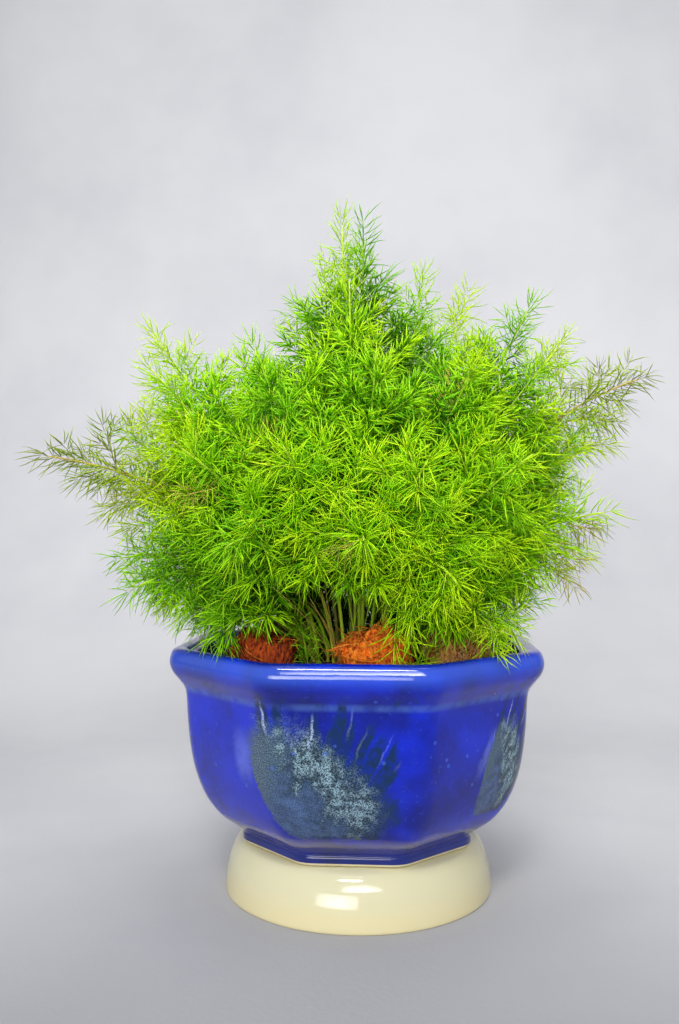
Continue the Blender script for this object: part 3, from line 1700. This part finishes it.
    def freshness(self, draw: random.Random, frond: Frond, spot: float) -> float:
        """Draw how fresh one spray is.

        Args:
            draw: The frond's random draws.
            frond: The frond.
            spot: Where the spray leaves the stem.

        Returns:
            A value from 0, dark green, to 1, straw.
        """
        if draw.random() < self.dry_shares[frond.growth is not Growth.DRYING]:
            return draw.uniform(*self.dry_tones)
        if frond.growth is Growth.OLIVE:
            return frond.growth.value + 0.3 * min(spot - 0.8, 0) + draw.uniform(-0.03, 0.02)
        tone = frond.growth.value + 0.16 * (spot - 0.7) + draw.uniform(*self.variety)
        return min(tone, self.freshest_spray)

    @staticmethod
    def tapered(start: float, end: float, count: int) -> np.ndarray:
        """Run radii from start to end, with a closed point at both ends.

        Args:
            start: The first radius.
            end: The last one.
            count: How many there are.

        Returns:
            The radii.
        """
        radii = np.linspace(start, end, count)
        radii[0] = radii[-1] = 0
        return radii

    def build(self, sprouts: Sprouts) -> None:
        """Grow each frond as one piece in place of its solid.

        Args:
            sprouts: What turns its shoots into the piece.
        """
        roots = self.roots()
        for index, frond in enumerate(FRONDS):
            lines = self.grow(frond, roots[frond.name])
            sprouts.make("plume_" + frond.name, lines, SEED + 10 * index, (frond.node,))


@dataclass(frozen=True)
class Understory:
    """What fills the clump's foot: bare dry stalks among the stems, and short young shoots.

    Args:
        foliage: The crown that it stands under.
    """

    foliage: Foliage
    stalks: int = 64
    leaning: int = 24
    leaning_turn: Range = (190, 262)
    stalk_radius: Range = (0.28 * MM, 0.62 * MM)
    stalk_rise: Range = (24 * MM, 66 * MM)
    stalk_tones: tuple[float, ...] = (0.4, 0.55, 0.68, 0.9, 0.96)
    tufts: int = 44
    tuft_start: float = -25
    tuft_arc: float = 230
    tuft_ring: Range = (12 * MM, 44 * MM)
    tuft_rise: Range = (26 * MM, 74 * MM)
    front_tufts: Rows = ((-36, -40, 14), (-21, -44, 34), (33, -48, 18), (27, -56, 13), (62, -34, 18))

    def stalk_lines(self) -> Skeleton:
        """Draw thin stalks that lean out of the clump, most of them dry.

        Returns:
            Their lines.
        """
        draw = random.Random(SEED + 31)
        skeleton = Skeleton()
        for index in range(self.stalks + self.leaning):
            leans = index >= self.stalks
            turn = math.radians(draw.uniform(*(self.leaning_turn if leans else (0, 360))))
            way = np.array([math.cos(turn), math.sin(turn), 0])
            root = way * self.foliage.clump * math.sqrt(draw.uniform(0.05, 1.1))
            root[2] = self.foliage.soil.edge - 3 * MM
            rise = draw.uniform(*self.stalk_rise)
            lean = way * rise * draw.uniform(0.1, 0.75) + leans * way * 0.6 * rise
            drift = np.array([draw.uniform(-1, 1), draw.uniform(-1, 1), 0]) * 0.22 * rise
            up = np.array([0, 0, rise])
            route = bezier((root, root + 0.3 * lean + 0.5 * up, root + lean + drift + up), 8)
            tone = draw.choice(self.stalk_tones)
            radius = self.foliage.tapered(draw.uniform(*self.stalk_radius), 0.2 * MM, len(route))
            skeleton.add(route, radius=radius, tone=tone)
        return skeleton

    def tuft_lines(self) -> Skeleton:
        """Draw short leafy shoots behind and beside the clump, and a few small ones in front.

        Returns:
            Their lines.
        """
        draw = random.Random(SEED + 37)
        skeleton = Skeleton()
        places = [(*(np.array(place) * MM), draw.uniform(0.5, 0.62)) for place in self.front_tufts]
        for index in range(self.tufts):
            turn = math.radians(self.tuft_start + self.tuft_arc * (index + draw.random()) / self.tufts)
            reach = draw.uniform(*self.tuft_ring)
            rise = draw.uniform(*self.tuft_rise)
            places.append((reach * math.cos(turn), reach * math.sin(turn), rise, draw.uniform(0.12, 0.42)))
        for index, (x, y, rise, tone) in enumerate(places):
            root = np.array([x, y, self.foliage.soil.edge - 2 * MM])
            away = np.array([x, y, 0]) / math.hypot(x, y)
            tip = root + away * rise * draw.uniform(0.2, 0.7) + np.array([0, 0, rise])
            route = bezier((root, root + np.array([0, 0, 0.7 * rise]), tip), 6)
            self.foliage.add_shoot(skeleton, route, 0.4 * MM, tone, 0.9)
            for _ in range((1 + (rise > 30 * MM)) * (index >= len(self.front_tufts))):
                self.foliage.add_twigs(skeleton, draw, route, min(0.8 * rise, 28 * MM), tone)
        return skeleton

    def build(self, sprouts: Sprouts) -> None:
        """Make the stalks and the tufts as two pieces."""
        for name, lines in (("bare_stalks", self.stalk_lines()), ("young_tufts", self.tuft_lines())):
            sprouts.make(name, lines, SEED + len(name))


@dataclass(frozen=True)
class Needle:
    """One three-sided needle, pointed at both ends, widest past its root and curved.

    Args:
        length: Its length in metres.
        radius: Its greatest radius in metres.
        bend: How far its tip lies off the straight line, in metres.
        twist: How far its tip swings sideways, in metres.
    """

    length: float
    radius: float
    bend: float
    twist: float
    spots: tuple[float, ...] = (0.26, 0.68)
    widths: tuple[float, ...] = (0.95, 0.95)

    def mesh(self, name: str) -> Mesh:
        """Make the needle, rising along +Z, with its map and each point's share of its length.

        Args:
            name: The mesh's name.

        Returns:
            The mesh.
        """
        shape = bmesh.new()
        layer = shape.verts.layers.float.new("share")
        root = shape.verts.new(self.middle(0.0))
        tip = shape.verts.new(self.middle(1.0))
        tip[layer] = 1.0
        rings = []
        for spot, width in zip(self.spots, self.widths):
            rings.append([])
            for side in range(3):
                turn = 2 * math.pi * side / 3 + spot
                away = self.radius * width * Vector((math.cos(turn), math.sin(turn), 0))
                rings[-1].append(shape.verts.new(self.middle(spot) + away))
                rings[-1][-1][layer] = spot
        for side in range(3):
            after = (side + 1) % 3
            shape.faces.new((root, rings[0][after], rings[0][side]))
            for lower, upper in zip(rings, rings[1:]):
                shape.faces.new((lower[side], lower[after], upper[after], upper[side]))
            shape.faces.new((rings[-1][side], rings[-1][after], tip))
        self.unwrap(shape)
        return mesh_from(shape, name)

    def middle(self, spot: float) -> Vector:
        """Return the centre line's point at a share of the length."""
        return Vector((-self.bend * spot * spot, self.twist * spot * spot, self.length * spot))

    def unwrap(self, shape: BMesh) -> None:
        """Place each corner on the map: half the share of the length along u, a narrow band along v.

        Args:
            shape: The needle's shape.
        """
        layer = shape.loops.layers.uv.new(UV_NAME)
        for face in shape.faces:
            for index, corner in enumerate(face.loops):
                share = min(max(corner.vert.co.z / self.length, 0), 1)
                corner[layer].uv = (0.01 + 0.48 * share + 0.004 * (index == 1), 0.005 * (index % 3))


def needle_kinds(fine: int = 12, inner: int = 3) -> list[Mesh]:
    """Return the needles that the shoots pick from.

    Args:
        fine: How many fine ones, the straightest first; each fourth one curves back.
        inner: How many plainer ones for the inside of the crown.

    Returns:
        Their meshes.
    """
    draw = random.Random(SEED + 1)
    kinds = []
    for index in range(fine):
        length = draw.uniform(11.0, 15.0) * MM
        bend = (0.08 + 0.05 * index) * length * (-0.7 if index % 4 == 3 else 1)
        twist = draw.uniform(-0.22, 0.22) * length
        kinds.append(Needle(length, draw.uniform(0.26, 0.32) * MM, bend, twist).mesh(f"needle_{index:02}"))
    for index in range(inner):
        length = draw.uniform(12.0, 15.0) * MM
        plain = Needle(length, 0.56 * MM, draw.uniform(0.1, 0.4) * length, 0.0, (0.45,), (1.0,))
        kinds.append(plain.mesh(f"needle_inner_{index}"))
    return kinds


def tone_band(recipe: Recipe) -> Socket:
    """Return where a freshness lies along the map's v."""
    return 0.02 + 0.94 * recipe.attribute("tone")


def tube(recipe: Recipe, lines: Socket, sides: int) -> Socket:
    """Return closed tubes along lines, as thick as their radius attribute, with their map.

    Args:
        recipe: The tree that they are made in.
        lines: The lines.
        sides: How many sides a tube has.

    Returns:
        The tubes.
    """
    graph = recipe.graph
    sockets = {"Resolution": sides, "Radius": 1.0}
    circle = graph.add("GeometryNodeCurvePrimitiveCircle", {"mode": "RADIUS"}, sockets)
    profile = recipe.store(circle["Curve"], "round", graph.add("GeometryNodeSplineParameter")["Factor"])
    sockets = {"Curve": lines, "Profile Curve": profile, "Scale": recipe.attribute("radius")}
    mesh = graph.add("GeometryNodeCurveToMesh", {}, sockets)["Mesh"]
    sockets = {"Geometry": mesh, "Distance": 0.02 * MM}
    merged = graph.add("GeometryNodeMergeByDistance", {}, sockets)["Geometry"]
    around = tone_band(recipe) + 0.012 * recipe.attribute("round")
    bark = graph.vector(0.56 + 0.4 * recipe.attribute("way"), around, 0)
    return recipe.store(merged, UV_NAME, bark, "FLOAT2", "CORNER")


def shoot_recipe() -> Recipe:
    """Make the tree that turns lines of points into shoots with needles at even nodes.

    Returns:
        The tree.
    """
    recipe = Recipe("Shoots with needles")
    graph = recipe.graph
    needles, fine, inner, inner_depth, spacing, amount, splay, droop, seed, finish = recipe.inputs(
        Needles="Collection", Fine_Kinds="Int", Inner_Kinds="Int", Inner_Depth="Float", Node_Spacing="Float",
        Needles_a_Node="Int", Splay="Float", Droop="Float", Seed="Int", Finish="Material",
    )
    lines = graph.add("GeometryNodeMeshToCurve", {}, {"Mesh": recipe.source["Geometry"]})["Curve"]
    factor = graph.add("GeometryNodeSplineParameter")["Factor"]
    lines = recipe.store(lines, "way", factor)
    young = recipe.attribute("order").above(0.5)
    sockets = {"Geometry": lines, "Selection": young}
    parts = graph.add("GeometryNodeSeparateGeometry", {"domain": "CURVE"}, sockets)
    tubes = [tube(recipe, parts["Selection"], 3), tube(recipe, parts["Inverted"], 7)]
    long = graph.add("GeometryNodeSplineLength")["Length"]
    sockets = {"Curve": lines, "Count": long / spacing + 1.5}
    nodes = graph.add("GeometryNodeCurveToPoints", {"mode": "COUNT"}, sockets)
    dotted = recipe.store(nodes["Points"], "axis", nodes["Rotation"], "QUATERNION")
    sockets = {"Vector": (0.0, 0.0, 1.0), "Rotation": recipe.attribute("axis", "QUATERNION")}
    rise = graph.split(graph.add("FunctionNodeRotateVector", {}, sockets)["Vector"])[2].most(0)
    dotted = recipe.store(dotted, "sag", 1 - rise * rise)
    leafy = {"Geometry": dotted, "Selection": recipe.attribute("needle").above(0.05)}
    dotted = graph.add("GeometryNodeSeparateGeometry", {"domain": "POINT"}, leafy)["Selection"]
    sockets = {"Geometry": dotted, "Amount": amount}
    repeated = graph.add("GeometryNodeDuplicateElements", {"domain": "POINT"}, sockets)
    copy = repeated["Duplicate Index"]
    index = graph.add("GeometryNodeInputIndex")["Index"]
    node = graph.add("ShaderNodeMath", {"operation": "FLOOR"}, {0: index / amount})["Value"]
    turn = node * GOLDEN_ANGLE + copy * (2 * math.pi) / amount + recipe.chance(-0.45, 0.45, seed)
    tilt = splay * recipe.attribute("splay") * recipe.chance(0.58, 1.24, seed + 1)
    size = recipe.attribute("needle") * recipe.chance(0.78, 1.14, seed + 2)
    curled = (fine - 1) * graph.fade(recipe.attribute("splay"), 0.35, 0.8)
    deep = recipe.attribute("depth").above(inner_depth)
    lowest = deep * fine
    highest = curled + deep * (fine + inner - 1 - curled)
    grown = recipe.scatter(
        repeated["Geometry"],
        needles,
        recipe.chance(lowest, highest, seed + 3, "INT"),
        recipe.turned(recipe.attribute("axis", "QUATERNION"), tilt, turn),
        size,
    )
    share = recipe.attribute("share")
    fall = -1 * droop * share * share * recipe.attribute("sag")
    sockets = {"Geometry": grown, "Offset": graph.vector(0, 0, fall)}
    grown = graph.add("GeometryNodeSetPosition", {}, sockets)["Geometry"]
    own = graph.split(recipe.attribute(UV_NAME, "FLOAT_VECTOR"))
    spread = graph.vector(own[0], tone_band(recipe) + own[1], 0)
    grown = recipe.store(grown, UV_NAME, spread, "FLOAT2", "CORNER")
    join = graph.add("GeometryNodeJoinGeometry")
    for part in (*tubes, grown):
        graph.tree.links.new(part.raw, join.node.inputs["Geometry"])
    bare = join["Geometry"]
    for name in (*Skeleton.usual, "axis", "way", "round", "sag", "share"):
        bare = graph.add("GeometryNodeRemoveAttribute", {}, {"Geometry": bare, "Name": name})["Geometry"]
    recipe.finish(bare, finish)
    return recipe


def scatter_recipe() -> Recipe:
    """Make the tree that scatters copies over a surface at a seeded random.

    Returns:
        The tree.
    """
    recipe = Recipe("Scatter on a surface")
    graph = recipe.graph
    copies, kinds, density, smallest, largest, spin, tip, seed, finish = recipe.inputs(
        Copies="Collection", Kinds="Int", Density="Float", Smallest="Float", Largest="Float", Spin="Float",
        Tip="Float", Seed="Int", Finish="Material",
    )
    sockets = {"Mesh": recipe.source["Geometry"], "Density": density, "Seed": seed}
    spots = graph.add("GeometryNodeDistributePointsOnFaces", {"distribute_method": "RANDOM"}, sockets)
    turn = recipe.chance(-1, 1, seed + 1) * spin
    lean = recipe.chance(-1, 1, seed + 2) * tip
    size = smallest + (largest - smallest) * recipe.chance(0, 1, seed + 3)
    pick = recipe.chance(0, kinds, seed + 4, "INT")
    rotation = recipe.turned(spots["Rotation"], lean, turn)
    recipe.finish(recipe.scatter(spots["Points"], copies, pick, rotation, size), finish)
    return recipe


@dataclass(frozen=True)
class Scatter:
    """Copies of a few small shapes, scattered over a surface.

    Args:
        recipe: The tree that scatters them.
        copies: The shapes to pick from.
        finish: Their material.
        slot: Their finish in the record.
        density: How many a square metre has.
        scales: The smallest and the largest scale.
        spin: How far each may turn about the surface's normal.
        tip: How far each may lean from it.
    """

    recipe: Recipe
    copies: Collection
    finish: Material
    slot: Slot
    density: float
    scales: Range
    spin: float
    tip: float

    def over(self, name: str, surface: Mesh, seed: int) -> None:
        """Scatter them over a mesh as one dressed piece.

        Args:
            name: The piece's name.
            surface: The mesh, which is used up.
            seed: The seed of their places.
        """
        dress(self.recipe.make(name, surface, {
            "Copies": self.copies, "Kinds": len(self.copies.objects) - 1, "Density": self.density,
            "Smallest": self.scales[0], "Largest": self.scales[1], "Spin": self.spin, "Tip": self.tip,
            "Seed": seed, "Finish": self.finish,
        }), self.slot)


def grain_kinds() -> list[Mesh]:
    """Make a few angular grains of mix.

    Returns:
        Their meshes.
    """
    kinds = []
    for index in range(4):
        shape = bmesh.new()
        bmesh.ops.create_icosphere(shape, subdivisions=1, radius=0.85 * MM)
        for vertex in shape.verts:
            vertex.co *= 1 + 0.45 * noise.noise(vertex.co / (0.7 * MM) + Vector((index * 5.1, 0, 0)))
            vertex.co.z *= 0.72
        kinds.append(mesh_from(shape, f"grain_{index}", False))
    return kinds


def fibre_kinds() -> list[Mesh]:
    """Make a few curled coir fibres that lie along X with their ends tucked down.

    Returns:
        Their meshes.
    """
    draw = random.Random(SEED + 5)
    kinds = []
    for index in range(7):
        half = draw.uniform(4.5, 9.0) * MM
        curl = [draw.uniform(-1, 1) * 0.32 * half for _ in range(4)]
        lift = draw.uniform(0.6, 1.6) * MM
        corners = (
            (-half, curl[0], -1.0 * MM), (-0.4 * half, curl[1], 1.3 * lift),
            (0.4 * half, curl[2], 1.3 * lift), (half, curl[3], -1.0 * MM),
        )
        kinds.append(strand(f"fibre_{index}", bezier(corners, 8), draw.uniform(0.13, 0.27) * MM))
    return kinds


def strand(name: str, route: np.ndarray, radius: float) -> Mesh:
    """Return a thin three-sided strand along a route, pointed at both ends.

    Args:
        name: The mesh's name.
        route: Its points.
        radius: Its radius.

    Returns:
        The mesh.
    """
    shape = bmesh.new()
    ends = [shape.verts.new(route[0]), shape.verts.new(route[-1])]
    rings = []
    for before, point, after in zip(route, route[1:], route[2:]):
        forward = (after - before) / np.linalg.norm(after - before)
        turns = (2 * math.pi * side / 3 for side in range(3))
        rings.append([shape.verts.new(point + radius * sideways(forward, turn)) for turn in turns])
    for lower, upper in zip(rings, rings[1:]):
        bridge(shape, lower, upper)
    for end, ring in zip(ends, (rings[0], rings[-1])):
        cap(shape, ring, end)
    bmesh.ops.recalc_face_normals(shape, faces=shape.faces)
    return mesh_from(shape, name)


def library(name: str, meshes: list[Mesh]) -> Collection:
    """Keep meshes as objects of a collection outside the scene, for a tree to pick from.

    Args:
        name: The collection's name.
        meshes: The meshes.

    Returns:
        The collection.
    """
    shelf = bpy.data.collections.new(name)
    for mesh in meshes:
        shelf.objects.link(bpy.data.objects.new(mesh.name, mesh))
    return shelf


def clear_library(shelf: Collection) -> None:
    """Remove a collection with its objects and meshes.

    Args:
        shelf: The collection.
    """
    for thing in list(shelf.objects):
        mesh = thing.data
        bpy.data.objects.remove(thing)
        bpy.data.meshes.remove(mesh)
    bpy.data.collections.remove(shelf)


@dataclass(frozen=True)
class Chip:
    """One coir chip, made from its solid's own shape.

    Args:
        node: Its solid's name.
        husk: Its finish.
        hair: The fibres that lie over it.
        levels: How finely it is divided.
        relief: How high its creases stand.
    """

    node: str
    husk: CoirHusk
    hair: Scatter
    levels: int = 3
    relief: float = 1.5 * MM

    def build(self, frame: dict, seed: int) -> None:
        """Refine the solid's shape, roughen it, and lay fibres over it.

        Args:
            frame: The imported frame.
            seed: The seed of the fibres' places.
        """
        shape = bmesh.new()
        shape.from_mesh(frame["nodes"][self.node].data)
        bmesh.ops.remove_doubles(shape, verts=shape.verts, dist=0.01 * MM)
        limits = {"angle_face_threshold": 1.2, "angle_shape_threshold": 1.5}
        bmesh.ops.join_triangles(shape, faces=shape.faces, **limits)
        cage = place_object(self.node + "_cage", mesh_from(shape, self.node + "_cage"))
        division = cage.modifiers.new("Subdivision", "SUBSURF")
        division.subdivision_type = "SIMPLE"
        division.levels = division.render_levels = self.levels
        mesh = evaluated_mesh(cage, self.node.replace("coir_chip", "husk"))
        bpy.data.objects.remove(cage)
        low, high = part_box(self.node)
        centre = (low + high) / 2
        for vertex in mesh.vertices:
            away = vertex.co - centre
            sway = 2.5 * MM * noise.noise(away / (9 * MM))
            strings = Vector(((away.x + sway) / (1.3 * MM), away.y / (2.2 * MM), away.z / (8 * MM)))
            creased = 0.5 - abs(noise.noise(strings)) * 2.2
            lumpy = noise.noise(away / (4 * MM))
            vertex.co = centre + away + vertex.normal * self.relief * (creased + 0.9 * lumpy - 0.2)
        piece = place_object(mesh.name, mesh)
        dress(piece, Slot.HUSK, (self.node,), self.husk.build())
        self.hair.over(mesh.name + "_fibres", mesh.copy(), seed)


@dataclass(frozen=True)
class Lamp:
    """A soft rectangular light.

    Args:
        name: Its name.
        place: Where it hangs.
        size: Its two sides in metres.
        power: Its power in watts.
        target: What it points at.
        spread: How wide its beam is, in degrees.
    """

    name: str
    place: Point
    size: Range
    power: float
    target: Point
    spread: float

    def hang(self) -> None:
        """Put the light in the scene."""
        data = bpy.data.lights.new(self.name, "AREA")
        data.spread = math.radians(self.spread)
        data.shape = "RECTANGLE"
        data.size, data.size_y = self.size
        data.energy = self.power
        lamp = bpy.data.objects.new(self.name, data)
        lamp.location = self.place
        lamp.rotation_euler = (Vector(self.target) - Vector(self.place)).to_track_quat("-Z", "Y").to_euler()
        bpy.context.scene.collection.objects.link(lamp)


@dataclass(frozen=True)
class Studio:
    """The pale sweep, the soft lights and the camera.

    Args:
        camera_place: Where the camera stands, in metres.
        camera_turn: Its rotation in radians.
        focus: Focal length as a share of the picture's height.
        width: How far the sweep reaches to each side.
        depth: Where its floor ends and it curves up.
        front: Where its floor starts.
        bend: Radius of the curve.
        top: Height of its top.
    """

    camera_place: Point = (0.0247, -0.4877, 0.1787)
    camera_turn: Point = (math.pi / 2 + 0.019, 0, 0.07)
    focus: float = 950 / 1024
    sensor: float = 36.0
    width: float = 3.2
    depth: float = 0.3
    front: float = -1.5
    bend: float = 0.55
    top: float = 2.2
    sky: tuple[float, float, float, float] = (0.97, 0.985, 1.0, 1)
    sky_strength: float = 0.44
    lamps: tuple[Lamp, ...] = (
        Lamp("front", (0.4, -3.6, 2.1), (2.3, 1.3), 11.6, (0.0, 0.85, 0.60), 40),
        Lamp("fill", (-0.9, -3.4, 0.5), (2.2, 0.9), 5.6, (0.0, 0.3, 0.30), 50),
        Lamp("lip", (-0.07, -0.72, 0.84), (0.30, 0.14), 0.17, (0, -0.06, 0.155), 30),
        Lamp("top", (0.0, 0.0, 1.5), (1.1, 0.9), 6.8, (0, 0.05, 0.2), 120),
    )

    def build(self) -> None:
        """Make the sweep, the lights, the world and the camera."""
        self.sweep()
        for lamp in self.lamps:
            lamp.hang()
        world = bpy.data.worlds.new("Studio")
        world.use_nodes = True
        background = world.node_tree.nodes["Background"]
        background.inputs["Color"].default_value = self.sky
        background.inputs["Strength"].default_value = self.sky_strength
        bpy.context.scene.world = world
        view = bpy.context.scene.view_settings
        view.view_transform = "Standard"
        view.look = "None"
        data = bpy.data.cameras.new("Camera")
        data.sensor_fit = "VERTICAL"
        data.sensor_height = self.sensor
        data.lens = self.focus * self.sensor
        data.clip_start = 0.01
        camera = bpy.data.objects.new("Camera", data)
        camera.location = self.camera_place
        camera.rotation_euler = self.camera_turn
        bpy.context.scene.collection.objects.link(camera)
        bpy.context.scene.camera = camera

    def sweep(self) -> None:
        """Make the floor that curves up into the backdrop."""
        turns = np.linspace(0, math.pi / 2, 16)
        rail = [(self.front, 0.0), (0.0, 0.0)]
        rail += [(self.depth + self.bend * math.sin(turn), self.bend - self.bend * math.cos(turn))
                 for turn in turns]
        rail.append((self.depth + self.bend, self.top))
        shape = bmesh.new()
        left, right = ([shape.verts.new((side, y, z)) for y, z in rail] for side in (-self.width, self.width))
        for corners in zip(left, right, right[1:], left[1:]):
            shape.faces.new(corners)
        sweep = place_object("pale_sweep", mesh_from(shape, "pale_sweep"))
        sweep.data.materials.append(Muslin().build())


def build_pot(frame: dict) -> Soil:
    """Build the pot with its stand, its soil, the chips and what lies loose on the soil.

    Args:
        frame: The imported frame.

    Returns:
        The soil.
    """
    Stand().build(CreamGlaze().build())
    Pot().build(CobaltGlaze().build())
    soil = Soil()
    recipe = scatter_recipe()
    mix = PottingMix().build()
    soil.build(mix)
    grains = library("Grains", grain_kinds())
    Scatter(recipe, grains, mix, Slot.SOIL, 62000.0, (0.45, 1.5), math.pi, math.pi).over(
        "loose_grains", soil.open_top(), SEED)
    strands = library("Fibres", fibre_kinds())
    straw = CoirHusk("Coir fibre", tint(120, 62, 30), tint(198, 128, 72), tint(232, 188, 140)).build()
    ember = CoirHusk("Red fibre", tint(140, 36, 0), tint(236, 92, 8), tint(255, 168, 60)).build()
    red = CoirHusk("Red husk", tint(26, 5, 2), tint(84, 22, 2), tint(190, 76, 20))
    orange = CoirHusk("Orange husk", tint(124, 28, 0), tint(232, 80, 0), tint(255, 148, 34))
    brown = CoirHusk("Brown husk", tint(84, 34, 4), tint(172, 96, 24), tint(232, 174, 92))
    chips = (
        ("coir_chip_front", orange, ember, 110000.0, 3),
        ("coir_chip_left", red, ember, 14000.0, 3),
        ("coir_chip_right", brown, straw, 70000.0, 3),
        ("coir_chip_back_right", red, ember, 26000.0, 2),
        ("coir_chip_back_left", brown, straw, 30000.0, 2),
    )
    for index, (node, husk, fibre, density, levels) in enumerate(chips):
        hair = Scatter(recipe, strands, fibre, Slot.HUSK, density, (0.5, 1.15), 1.2, 0.35)
        Chip(node, husk, hair, levels).build(frame, SEED + 20 + index)
    Scatter(recipe, strands, straw, Slot.HUSK, 9000.0, (0.6, 1.5), math.pi, 0.2).over(
        "loose_fibres", soil.open_top(), SEED + 9)
    for shelf in (grains, strands):
        clear_library(shelf)
    return soil


def main() -> None:
    """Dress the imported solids, build what they leave to the looks, and set the studio."""
    logging.basicConfig(level=logging.INFO, format="%(name)s %(message)s")
    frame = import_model()
    Studio().build()
    foliage = Foliage(build_pot(frame))
    needles = library("Needles", needle_kinds())
    sprouts = Sprouts(shoot_recipe(), needles, FernGreen().build())
    foliage.build(sprouts)
    Understory(foliage).build(sprouts)
    clear_library(needles)


if __name__ == "__main__":
    main()
